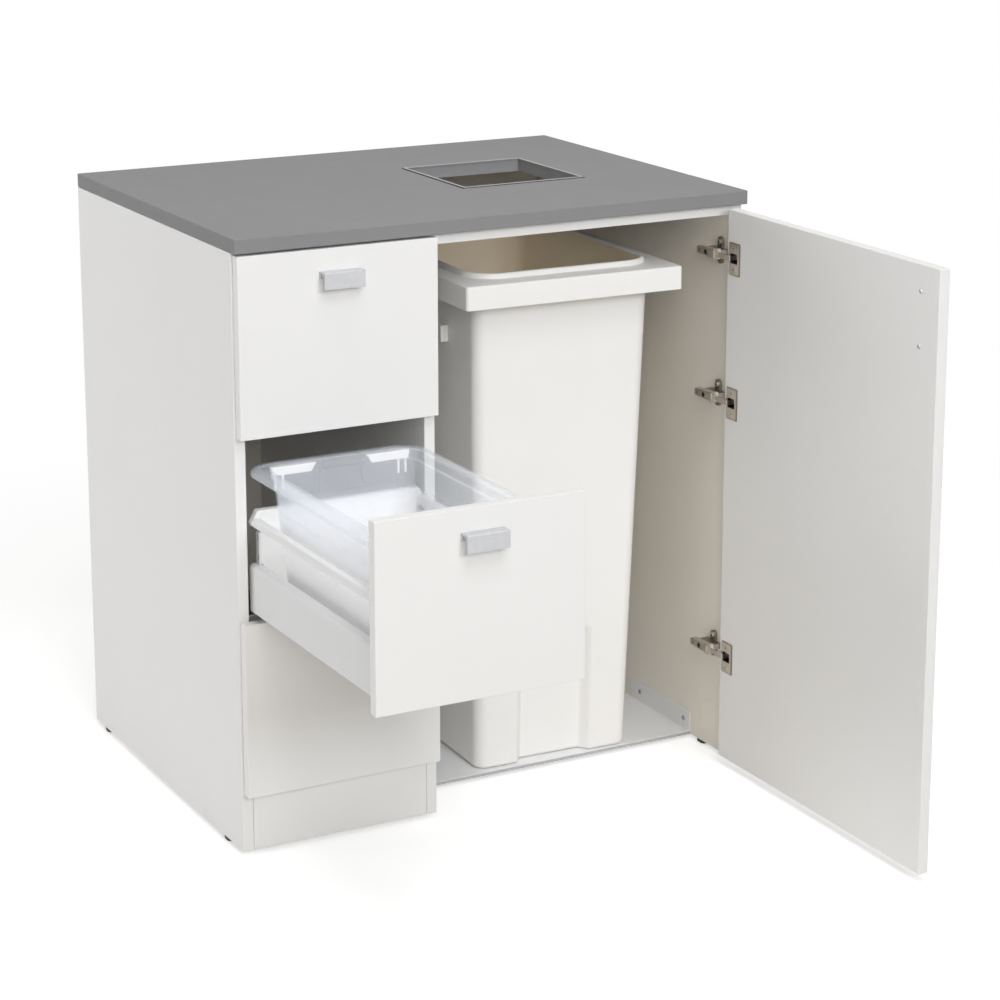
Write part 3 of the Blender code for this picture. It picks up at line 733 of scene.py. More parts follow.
    def paint(self, facing: Vector, low: Sequence[float], high: Sequence[float]) -> Form:
        """Give the second material to the faces that look one way and lie in a region.

        Args:
            facing: The way that the faces look.
            low: The region's lowest corner.
            high: Its highest corner.

        Returns:
            This form.
        """
        self.outward()
        for face in self.faces(facing, low, high):
            face.material_index = 1
        return self

    def weld(self) -> Form:
        """Merge vertices that lie on each other."""
        bmesh.ops.remove_doubles(self.bm, verts=self.bm.verts, dist=SAME_POINT)
        return self

    def rims(self) -> list[bmesh.types.BMEdge]:
        """The edges of open ends."""
        return [edge for edge in self.bm.edges if edge.is_boundary]

    def close(self) -> Form:
        """Fill the open ends."""
        bmesh.ops.holes_fill(self.bm, edges=self.rims(), sides=0)
        return self

    def outward(self) -> Form:
        """Let all faces look outwards."""
        bmesh.ops.recalc_face_normals(self.bm, faces=self.bm.faces)
        return self

    def soften(self, width: float, segments: int = 3, pick: EdgeTest | None = None,
               angle: float = 30.0) -> Form:
        """Round edges.

        Args:
            width: The bevel's width.
            segments: How many strips the bevel has.
            pick: Which of the sharp edges to round, or all of them.
            angle: The least angle between two faces, in degrees, at which an edge counts as sharp.

        Returns:
            This form.
        """
        sharp = [edge for edge in self.bm.edges
                 if edge.calc_face_angle(0.0) > math.radians(angle) and (pick is None or pick(edge))]
        bmesh.ops.bevel(self.bm, geom=sharp, offset=width, segments=segments, profile=0.5, affect="EDGES",
                        clamp_overlap=True, material=-1)
        return self

    def bend(self, rule: Callable[[Vector], Vector]) -> Form:
        """Move every vertex.

        Args:
            rule: Where a vertex goes, by where it is.

        Returns:
            This form.
        """
        for vert in self.bm.verts:
            vert.co = rule(vert.co)
        return self

    def turn(self, matrix: Matrix) -> Form:
        """Apply a matrix to all of the form."""
        bmesh.ops.transform(self.bm, matrix=matrix, verts=self.bm.verts)
        return self

    def join(self, other: Form) -> Form:
        """Add the shells of another form.

        Args:
            other: The other form, which is used up.

        Returns:
            This form.
        """
        mesh = other.mesh("joined")
        self.bm.from_mesh(mesh)
        bpy.data.meshes.remove(mesh)
        return self

    def mesh(self, name: str) -> bpy.types.Mesh:
        """Close the work on this form.

        Args:
            name: The mesh's name.

        Returns:
            The mesh, with its faces outwards.
        """
        self.outward()
        made = bpy.data.meshes.new(name)
        self.bm.to_mesh(made)
        self.bm.free()
        return made


def runs_along(axis: Axis) -> EdgeTest:
    """A test for edges that lie along an axis.

    Args:
        axis: The axis.

    Returns:
        The test.
    """
    def test(edge: bmesh.types.BMEdge) -> bool:
        """Whether this edge lies along the axis."""
        paint_inner_shade = (edge.verts[0].co - edge.verts[1].co).normalized()
        return abs(paint_inner_shade[axis.value]) > ALONG
    return test


def ease(value: float) -> float:
    """A smooth step from 0 to 1."""
    share = min(max(value, 0.0), 1.0)
    return share * share * (3 - 2 * share)


def round_foot(rung: Callable[[float, float], Section], z: float, inset: float,
               radius: float) -> list[Section]:
    """Rungs over a rounded foot.

    Args:
        rung: Makes a rung at a height and an inset.
        z: The height of the flat base.
        inset: The inset of the wall above the round.
        radius: The round's radius.

    Returns:
        The rungs, from the base up to the wall.
    """
    return [rung(z + radius * up, inset + radius * inwards) for up, inwards in FOOT_ROUND]


@dataclass(frozen=True)
class ScrewHead:
    """A low domed screw head with a cross recess, painted black as painted shade. Slot and dome are in shares
    of its radius.
    """

    radius: float
    proud: float
    slot_half: float = 0.12
    slot_reach: float = 0.58
    slot_deep: float = 0.55
    dome: float = 0.28
    cells: int = 9

    def form(self, seat: Sequence[float], facing: Vector) -> Form:
        """Make the head: a square grid, its cross sunk, drawn to a disc and closed at the back.

        Args:
            seat: The middle of what it sits on.
            facing: The way that it looks.

        Returns:
            The closed form.
        """
        form = Form()
        bmesh.ops.create_grid(form.bm, x_segments=self.cells, y_segments=self.cells, size=1.0)
        sunk = form.extrude([face for face in form.bm.faces if self.in_cross(face)], DOWN * self.slot_deep)
        # The sunk cross takes the second material, black, as painted shade in the recess
        for face in {face for vert in sunk for face in vert.link_faces}:
            face.material_index = 1
        form.bend(self.disc)
        for vert in fresh_verts(bmesh.ops.extrude_edge_only(form.bm, edges=form.rims())):
            vert.co.z = -self.proud / self.radius
        place = Matrix.Translation(Vector(seat) + facing * self.proud)
        turned = facing.to_track_quat("Z", "Y").to_matrix().to_4x4()
        return form.close().turn(place @ turned @ Matrix.Scale(self.radius, 4))

    def in_cross(self, face: bmesh.types.BMFace) -> bool:
        """Whether a cell of the grid belongs to the cross."""
        near, far = sorted(abs(part) for part in face.calc_center_median()[:2])
        return near < self.slot_half and far < self.slot_reach

    def disc(self, point: Vector) -> Vector:
        """Where a point of the square grid lies on the domed disc.

        Args:
            point: The point, in a square that reaches one unit to each side.

        Returns:
            Its place in the unit disc.
        """
        x = point.x * math.sqrt(1 - point.y ** 2 / 2)
        y = point.y * math.sqrt(1 - point.x ** 2 / 2)
        return Vector((x, y, point.z - self.dome * (x * x + y * y)))


class Shop:
    """Turns finished forms into pieces of the object, and keeps one material for each finish."""

    def __init__(self, nodes: Mapping[str, bpy.types.Object]) -> None:
        """Start with the frame's nodes and no materials."""
        self.nodes = nodes
        self.materials: dict[str, bpy.types.Material] = {}

    def coat(self, finish: Finish) -> bpy.types.Material:
        """The material of a finish, made once.

        Args:
            finish: The finish.

        Returns:
            Its material.
        """
        if finish.name not in self.materials:
            self.materials[finish.name] = finish.material()
        return self.materials[finish.name]

    def piece(self, form: Form, name: str, body: str, finish: Finish, *nodes: str, crease: float = 40.0,
              second: Finish | None = None) -> None:
        """Make a piece of a form and let it ride on a body.

        Args:
            form: The finished form, in place.
            name: The piece's name.
            body: The body of the frame that it moves with.
            finish: Its finish.
            nodes: The frame's nodes that it stands for.
            crease: The angle in degrees above which an edge stays sharp.
            second: The finish of the faces that were painted.
        """
        mesh = form.mesh(name)
        mesh.shade_smooth()
        mesh.set_sharp_from_angle(angle=math.radians(crease))
        for coat in (finish, second):
            if coat is not None:
                mesh.materials.append(self.coat(coat))
        made = bpy.data.objects.new(name, mesh)
        bpy.context.scene.collection.objects.link(made)
        flat = made.modifiers.new("flat_faces", "WEIGHTED_NORMAL")
        flat.keep_sharp = True
        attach(made, body)
        if nodes:
            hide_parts(*nodes)
        LOG.info("%s on %s", name, body)

    def keep(self, node: str, finish: Finish) -> None:
        """Give a node of the frame a better material.

        Args:
            node: The node, whose shape is right as it is.
            finish: Its finish.
        """
        mesh = self.nodes[node].data
        mesh.materials.clear()
        mesh.materials.append(self.coat(finish))
        LOG.info("%s keeps its shape", node)

    def board(self, node: str, body: str, finish: Finish = WHITE, edge: float = 0.0011,
              inside: Vector | None = None) -> None:
        """Stand a board with rounded edges in a node's place.

        Args:
            node: The frame's node.
            body: The body that it moves with.
            finish: Its finish.
            edge: How far its edges are rounded.
            inside: The way that its inner face looks, if that face gets the warm tint of painted shade.
        """
        low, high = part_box(node)
        form = Form.cube(low, high).soften(edge)
        if inside is not None:
            form.paint(inside, low, high)
        second = None if inside is None else PAINTED_WARM_SHADE_WHITE
        self.piece(form, node + "_board", body, finish, node, second=second)


# Carcass

@dataclass
class Carcass:
    """The boards of the cabinet, its glide feet and the folded plate under the bin."""

    boards: tuple[str, ...] = ("left_side_panel", "partition_panel", "front_rail_drawer_bay",
                               "front_rail_bin_bay", "plinth_board")
    inner_boards: tuple[str, ...] = ("rear_rail_drawer_bay", "rear_rail_bin_bay", "drawer_bay_bottom")
    foot_round: float = 0.006
    foot_edge: float = 0.001
    sheet: float = 0.0015
    sheet_edge: float = 0.0003
    lip: float = 0.005
    flange_length: float = 0.175
    screw: ScrewHead = ScrewHead(0.0042, 0.0016)
    screw_in: tuple[float, float] = (0.018, 0.148)

    def build(self, shop: Shop) -> None:
        """Make the boards, the feet and the plate.

        Args:
            shop: Where the pieces are made.
        """
        for node in self.boards:
            shop.board(node, "cabinet")
        for node in self.inner_boards:
            # The inner boards, and the inner faces of the right side and the back, take the painted warm
            # shade
            shop.board(node, "cabinet", PAINTED_WARM_SHADE_WHITE)
        shop.board("right_side_panel", "cabinet", inside=TO_LEFT)
        shop.board("back_panel", "cabinet", inside=TO_FRONT)
        for hand in Hand:
            for end in ("front", "rear"):
                self.foot(shop, "glide_foot_{}_{}".format(hand.word, end))
        self.plate(shop)

    def foot(self, shop: Shop, node: str) -> None:
        """Make a glide foot with round ends and a rounded tread.

        Args:
            shop: Where the piece is made.
            node: The foot's node.
        """
        form = Form.cube(*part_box(node)).soften(self.foot_round, 4, runs_along(Axis.Z))
        shop.piece(form.soften(self.foot_edge, 2), node + "_glide", "cabinet", BLACK, node)

    def plate(self, shop: Shop) -> None:
        """Fold the plate, with flanges up at the sides and lips down at front and rear, and screw it on.

        Args:
            shop: Where the pieces are made.
        """
        low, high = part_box("bin_base_plate")
        t = self.sheet
        top, rear = low.z + self.lip, low.y + self.flange_length
        form = Form.cube((low.x, low.y, top - t), (high.x, high.y, top))
        form.cut(Axis.X, low.x + t, high.x - t).cut(Axis.Y, low.y + t, rear, high.y - t)
        for x0, x1 in ((low.x, low.x + t), (high.x - t, high.x)):
            form.push(UP, (x0, low.y, top), (x1, rear, top), high.z - top)
        for y0, y1 in ((low.y, low.y + t), (high.y - t, high.y)):
            form.push(DOWN, (low.x, y0, top - t), (high.x, y1, top - t), top - t - low.z)
        form.soften(self.sheet_edge, 1)
        form.paint(TO_FRONT, (low.x, low.y - t, low.z), (high.x, low.y + t, top))
        shop.piece(form, "bin_base_plate_folded", "cabinet", PLATE, "bin_base_plate", second=PLATE_EDGE)
        heads = Form()
        for x, facing in ((low.x + t, TO_RIGHT), (high.x - t, TO_LEFT)):
            for inset in self.screw_in:
                heads.join(self.screw.form((x, low.y + inset, (top + high.z) / 2), facing))
        shop.piece(heads, "base_plate_screws", "cabinet", ZINC, second=BLACK)


@dataclass
class Worktop:
    """The laminate top, the thin insert in its opening that waste drops through, and the black seal around
    that, which also paints the gap's shadow.
    """

    edge: float = 0.0014
    gap: float = 0.0026
    sheet: float = 0.0018
    rim: float = 0.0036
    rim_round: float = 0.0006
    rim_low: float = 0.002
    rim_slope: float = 0.003
    proud: float = 0.0014
    lift: float = 0.001
    corner: float = 0.0025
    corner_shrink: float = 0.6
    corner_steps: int = 3
    shade_seal_thick: float = 0.0008
    shade_seal_chamfer: tuple[float, float] = (0.7, 0.5)
    shade_seal_skin: float = 0.00005
    shade_seal_low: float = 0.006
    shade_seal_under: float = 0.0003

    def build(self, shop: Shop) -> None:
        """Make the top, the insert and the seal.

        Args:
            shop: Where the pieces are made.
        """
        low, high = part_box("worktop")
        hole_low, hole_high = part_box("chute_frame")
        form = Form.cube(low, high).soften(self.edge)
        form.pierce(UP, (hole_low.x - self.gap, hole_low.y - self.gap, low.z),
                    (hole_high.x + self.gap, hole_high.y + self.gap, high.z))
        shop.piece(form, "worktop_board", "cabinet", GREY_TOP, "worktop")
        self.insert(shop, hole_low, hole_high, low.z + self.lift, high.z)

    def insert(self, shop: Shop, low: Vector, high: Vector, bottom: float, surface: float) -> None:
        """Make the insert with its raised rim, lighter on top as a painted highlight, and the black seal
        against the edge of the opening, which also paints the shade of the gap.

        Args:
            shop: Where the pieces are made.
            low: The lowest corner of the insert's node.
            high: Its highest corner.
            bottom: The insert's lowest height.
            surface: The height of the worktop.
        """
        t, w, r = self.sheet, self.rim, self.rim_round
        top = surface + self.proud
        bulge = r * ROUND_MIDDLE

        def rung(inset: float, z: float) -> Section:
            """A square rung, set in from the insert's outline."""
            radius = self.corner - min(inset, t) * self.corner_shrink
            return Section(low.x + inset, high.x - inset, low.y + inset, high.y - inset, radius, z,
                           self.corner_steps)

        slope = top - self.rim_low
        outside = [rung(0.0, bottom), rung(0.0, top - r), rung(bulge, top - bulge), rung(r, top)]
        inside = [rung(w - r, top), rung(w - bulge, top - bulge), rung(w, top - r), rung(w, slope),
                  rung(t, slope - self.rim_slope), rung(t, bottom)]
        form = Form.loft(outside + inside, ring=True)
        # The rim's upward faces take the lighter grey as a painted highlight
        form.paint(UP, (low.x, low.y, top - r), (high.x, high.y, top))
        shop.piece(form, "chute_insert", "cabinet", INSERT_GREY, "chute_frame", second=INSERT_PAINTED_HIGHLIGHT)
        # A black seal round the insert, partly painted shade for the shadow in the gap
        out, skin = self.shade_seal_thick, self.shade_seal_skin
        base, brim = surface - self.shade_seal_low, top - r - self.shade_seal_under
        across, down = self.shade_seal_chamfer
        seal = [rung(-out, base), rung(-out, brim - out * down), rung(-out * across, brim), rung(-skin, brim),
                rung(-skin, base)]
        shop.piece(Form.loft(seal, ring=True), "chute_seal_painted_shade", "cabinet", BLACK)


# Door, hinges and handles

@dataclass
class Handle:
    """A hooked pull: a top plate that turns down into a front plate, rounded where they meet."""

    plate: float = 0.003
    fillet: float = 0.0085
    fillet_steps: int = 5
    round_over: float = 0.0010
    edge: float = 0.0004
    foot: float = 0.010

    def form(self, low: Vector, high: Vector, out: Vector, down: Vector) -> Form:
        """Make the pull in a node's box.

        Args:
            low: The box's lowest corner.
            high: Its highest corner.
            out: The way that the pull stands out of its board.
            down: The way that its front plate turns down.

        Returns:
            The pull.
        """
        across, turned = axis_of(out), axis_of(down)
        i, j = across.value, turned.value
        reach, drop = high[i] - low[i], high[j] - low[j]
        run = next(axis for axis in Axis if axis not in (across, turned))
        t, f = self.plate, self.fillet
        arc = [math.pi / 2 * step / self.fillet_steps for step in range(self.fillet_steps + 1)]
        hollow = [(reach - t - f + f * math.cos(turn), t + f - f * math.sin(turn)) for turn in arc]
        outline = [(0, 0), (reach, 0), (reach, drop), (reach - t, drop), *hollow, (t, t), (t, self.foot),
                   (0, self.foot)]

        def place(u: float, v: float) -> Vector:
            """Put a point of the outline into the frame.

            Args:
                u: How far it stands out of the board.
                v: How far down it is.

            Returns:
                The point, at the lower end of the pull's run.
            """
            point = low.copy()
            point[i] = low[i] + u if out[i] > 0 else high[i] - u
            point[j] = low[j] + v if down[j] > 0 else high[j] - v
            return point

        corner = place(reach, 0)

        def nose(edge: bmesh.types.BMEdge) -> bool:
            """Whether this is the edge where the top plate turns down."""
            return all(abs(vert.co[k] - corner[k]) < REGION_SLACK for vert in edge.verts for k in (i, j))

        length = high[run.value] - low[run.value]
        form = Form.prism([place(u, v) for u, v in outline], run.vector(length))
        return form.soften(self.round_over, 4, nose).soften(self.edge, 2)


@dataclass
class Door:
    """The door with its hinge pockets, its pull and the two screws that hold the pull."""

    edge: float = 0.0011
    pocket_grow: float = 0.0011
    screw: ScrewHead = ScrewHead(0.0036, 0.0014)
    screw_drop: tuple[float, float] = (0.0355, 0.109)
    screw_edge: float = 0.039

    def build(self, shop: Shop) -> None:
        """Make the panel, the pull and its screws.

        Args:
            shop: Where the pieces are made.
        """
        low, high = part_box("door_panel")
        form = Form.cube(low, high).soften(self.edge)
        trays = [Hinge().tray(*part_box("hinge_cup_" + row.value), self.pocket_grow) for row in Row]
        for near, far in trays:
            form.cut(Axis.Y, near.y, far.y).cut(Axis.Z, near.z, far.z)
        for near, far in trays:
            form.push(TO_LEFT, (low.x, near.y, near.z), (low.x, far.y, far.z), low.x - far.x)
        shop.piece(form, "door_board", "door", WHITE, "door_panel")
        pull = Handle().form(*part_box("door_handle"), TO_RIGHT, TO_REAR)
        shop.piece(pull, "door_pull", "door", SATIN_Z, "door_handle")
        heads = Form()
        for drop in self.screw_drop:
            heads.join(self.screw.form((low.x, low.y + self.screw_edge, high.z - drop), TO_LEFT))
        shop.piece(heads, "door_pull_screws", "door", ZINC, second=BLACK)


@dataclass
class Hinge:
    """A concealed hinge: an arm on its wing plate, the necked link in it, and the cup with its flange."""

    # Cup and flange
    flange: float = 0.0012
    under: float = 0.0005
    cup_wall: float = 0.0008
    cup_half: float = 0.0074
    hollow_front: float = 0.0165
    hollow_rear: float = 0.0037
    plate_front: float = 0.0105
    plate_low: float = 0.0025
    plate_corner: float = 0.0018
    face_front: float = 0.0132
    face_inset: float = 0.0014
    face_corner: float = 0.0014
    cup_screw: ScrewHead = ScrewHead(0.0030, 0.0008)
    cup_screw_low: float = 0.011
    cup_screw_high: float = 0.0085

    # Link
    link_half: float = 0.0040
    link_thick: float = 0.0016
    link_neck: float = 0.0127
    link_length: float = 0.052
    link_bend: float = 0.0009
    link_edge: float = 0.0003
    nose_steps: int = 8
    pivot_in: float = 0.002
    run_in: float = 0.0008

    # Arm, the frame at its front end, and the block that it stands on
    arm_front: float = 0.0070
    arm_rear: float = 0.0052
    arm_deep: float = 0.0115
    arm_wall: float = 0.0014
    arm_round: float = 0.0016
    arm_inner_round: float = 0.0008
    arm_end: Triple = (0.001, 0.0006, 0.0014)
    arm_hem: float = 0.6
    arm_lap: float = 0.002
    arm_set: float = 0.0023
    arm_lift: float = 0.002
    arm_steps: int = 3
    arm_screw: ScrewHead = ScrewHead(0.0024, 0.0003)
    arm_screw_in: float = 0.0085
    dark_screw: ScrewHead = ScrewHead(0.0040, 0.0005)
    dark_screw_at: float = 0.50
    frame_long: float = 0.0042
    frame_out: float = 0.0006
    frame_down: float = 0.0080
    frame_up: float = 0.0076
    frame_round: float = 0.0016
    frame_edge: float = 0.0006
    block_half: float = 0.0042
    block_in: float = 0.006
    block_lap: float = 0.001
    block_edge: float = 0.0008

    # Wing plate on the side panel
    wing_length: float = 0.0135
    wing_setback: float = 0.0165
    wing_thick: float = 0.004
    wing_up: float = 0.0205
    wing_down: float = 0.0195
    wing_round: float = 0.0060
    wing_edge: float = 0.0006
    wing_screw: ScrewHead = ScrewHead(0.0050, 0.0026)
    wing_screw_in: float = 0.0075

    def build(self, shop: Shop) -> None:
        """Make the three hinges.

        Args:
            shop: Where the pieces are made.
        """
        for row in Row:
            self.cup(shop, row.value)
            self.link(shop, row.value)
            self.arm(shop, row.value)

    def tray(self, low: Vector, high: Vector, grow: float) -> tuple[Vector, Vector]:
        """Place the cup's hollow in the door.

        Args:
            low: The lowest corner of the cup's node.
            high: Its highest corner.
            grow: How much larger the hollow is made on every side.

        Returns:
            The hollow's lowest and highest corners.
        """
        middle = (low.z + high.z) / 2 + self.arm_lift
        half = self.cup_half + grow
        front = low.y + self.hollow_front - grow
        rear = high.y - self.hollow_rear + grow
        floor = high.x - self.cup_wall + grow
        return Vector((low.x, front, middle - half)), Vector((floor, rear, middle + half))

    def cup(self, shop: Shop, place: str) -> None:
        """Make the flange with two screws, its under plate, and the black tray let into the door.

        Args:
            shop: Where the pieces are made.
            place: The hinge's place in its column.
        """
        name = "hinge_cup_" + place
        low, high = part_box(name)
        seat = low.x + self.flange
        split = seat - self.under
        near, far = self.tray(low, high, 0.0)
        base = low.z + self.plate_low
        plate = Form.cube((split, low.y + self.plate_front, base), (seat, high.y, high.z))
        plate.soften(self.plate_corner, 4, runs_along(Axis.X))
        plate.pierce(TO_LEFT, (split, near.y, near.z), (seat, far.y, far.z))
        face = Form.cube((low.x, low.y + self.face_front, base + self.face_inset),
                         (split, high.y, high.z - self.face_inset))
        face.soften(self.face_corner, 4, runs_along(Axis.X))
        face.pierce(TO_LEFT, (low.x, near.y, near.z), (split, far.y, far.z))
        for z in (low.z + self.cup_screw_low, high.z - self.cup_screw_high):
            face.join(self.cup_screw.form((low.x, (near.y + far.y) / 2, z), TO_LEFT))
        shop.piece(face, name + "_flange", "door", NICKEL, name, second=BLACK)
        shop.piece(plate, name + "_plate", "door", DARKER_NICKEL_SHADE)
        outer_near, outer_far = self.tray(low, high, self.cup_wall)
        lining = Form.cube((seat, outer_near.y, outer_near.z), outer_far)
        lining.pierce(TO_LEFT, (seat, near.y, near.z), far, through=False)
        shop.piece(lining, name + "_lining", "door", BLACK)

    def link(self, shop: Shop, place: str) -> None:
        """Make the necked strip: a round nose on the pivot, a neck, and a run that slides in the arm.

        Args:
            shop: Where the piece is made.
            place: The hinge's place in its column.
        """
        name = "hinge_link_" + place
        low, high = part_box(name)
        middle = (low.z + high.z) / 2 + self.arm_lift
        pivot = Vector((high.x - self.pivot_in, low.y + self.pivot_in, middle))
        half, neck = self.link_thick / 2, self.link_neck
        run = low.x + self.run_in + half - pivot.x
        arc = [math.pi * step / self.nose_steps for step in range(self.nose_steps + 1)]
        outline = [(half * math.cos(turn), -half * math.sin(turn)) for turn in arc]
        outline += [(-half, neck - half), (run - half, neck - half), (run - half, self.link_length),
                    (run + half, self.link_length), (run + half, neck + half), (half, neck + half)]
        points = [pivot + Vector((x, y, -self.link_half)) for x, y in outline]
        form = Form.prism(points, Axis.Z.vector(2 * self.link_half))
        upright = runs_along(Axis.Z)

        def bend(edge: bmesh.types.BMEdge) -> bool:
            """Whether this is one of the upright edges where the neck turns."""
            off = [abs(abs(vert.co.y - pivot.y - neck) - half) for vert in edge.verts]
            return max(off) < SAME_POINT and upright(edge)

        form.soften(self.link_bend, 5, bend).soften(self.link_edge, 2, angle=STILL_SHARP)
        shop.piece(form, name + "_necked", "hinge_links", NICKEL, name)

    def arm(self, shop: Shop, place: str) -> None:
        """Make the tapered arm with the frame at its end, its block and wing plate, and the screws.

        Args:
            shop: Where the pieces are made.
            place: The hinge's place in its column.
        """
        name = "hinge_arm_" + place
        low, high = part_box(name)
        middle = (low.z + high.z) / 2 + self.arm_lift
        form = self.shell(low, high, middle).join(self.frame(low, middle, place))
        form.join(self.arm_screw.form((low.x, high.y - self.arm_screw_in, middle), TO_LEFT))
        shop.piece(form, name + "_pressed", "cabinet", NICKEL, name, second=BLACK)
        half, inset = self.block_half, self.block_in
        block = Form.cube((low.x + self.arm_deep - self.block_lap, low.y + inset, middle - half),
                          (high.x, high.y - inset, middle + half))
        base = self.wings(low, high, middle).join(block.soften(self.block_edge, 2))
        # The block and wing plate behind the arm take the darker nickel as painted shade
        shop.piece(base, "hinge_wings_" + place, "cabinet", DARKER_NICKEL_SHADE)
        spot = (high.x - self.wing_thick, low.y + self.wing_setback + self.wing_length / 2,
                middle + self.wing_up - self.wing_screw_in)
        shop.piece(self.wing_screw.form(spot, TO_LEFT), "hinge_wing_screw_" + place, "cabinet", NICKEL,
                   second=BLACK)
        spot = (low.x, low.y + (high.y - low.y) * self.dark_screw_at, middle)
        shop.piece(self.dark_screw.form(spot, TO_LEFT), "hinge_screw_" + place, "cabinet", BLACK)

    def shell(self, low: Vector, high: Vector, middle: float) -> Form:
        """The arm: a pressed sleeve that is drawn in towards the rear, with a hem there.

        Args:
            low: The lowest corner of the arm's node.
            high: Its highest corner.
            middle: The height of its middle.

        Returns:
            The closed form.
        """
        def rung(y: float, inset: float, radius: float) -> Section:
            """A rung across the arm, lofted upright and then laid along the depth.

            Args:
                y: Its place along the arm.
                inset: How far it is set in.
                radius: Its corners' radius.

            Returns:
                The rung.
            """
            share = (y - low.y) / (high.y - low.y)
            half = self.arm_front + (self.arm_rear - self.arm_front) * share - inset
            return Section(low.x + inset, low.x + self.arm_deep - inset, middle - half, middle + half, radius,
                           y, self.arm_steps)

        start = low.y + self.arm_set + self.arm_lap
        end, end_in, end_round = self.arm_end
        outer, inner = self.arm_round, self.arm_inner_round
        rungs = [rung(start, 0.0, outer), rung(high.y - end, 0.0, outer), rung(high.y, end_in, end_round),
                 rung(high.y, self.arm_wall * self.arm_hem, inner), rung(start, self.arm_wall, inner)]
        laid = Matrix(((1, 0, 0, 0), (0, 0, 1, 0), (0, 1, 0, 0), (0, 0, 0, 1)))
        return Form.loft(rungs, ring=True).turn(laid)

    def frame(self, low: Vector, middle: float, place: str) -> Form:
        """The round-edged front end of the arm, with a slot for the link.

        Args:
            low: The lowest corner of the arm's node.
            middle: The height of the arm's middle.
            place: The hinge's place in its column.

        Returns:
            The closed form.
        """
        link_low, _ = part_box("hinge_link_" + place)
        front = low.y + self.arm_set
        back = front + self.frame_long
        form = Form.cube((low.x - self.frame_out, front, middle - self.frame_down),
                         (low.x + self.arm_deep + self.frame_out, back, middle + self.frame_up))
        form.soften(self.frame_round, 3, runs_along(Axis.Y)).soften(self.frame_edge, 2, angle=STILL_SHARP)
        side = link_low.x + self.run_in
        half = self.link_half + AIR
        return form.pierce(TO_FRONT, (side - AIR, front, middle - half),
                           (side + self.link_thick + AIR, back, middle + half))

    def wings(self, low: Vector, high: Vector, middle: float) -> Form:
        """The wing plate on the panel: a round tab above for a screw, and one below.

        Args:
            low: The lowest corner of the arm's node.
            high: Its highest corner.
            middle: The height of the arm's middle.

        Returns:
            The closed form.
        """
        front = low.y + self.wing_setback
        plate = Form.cube((high.x - self.wing_thick, front, middle - self.wing_down),
                          (high.x, front + self.wing_length, middle + self.wing_up))
        return plate.soften(self.wing_round, 6, runs_along(Axis.X)).soften(self.wing_edge, 2)


# Drawers

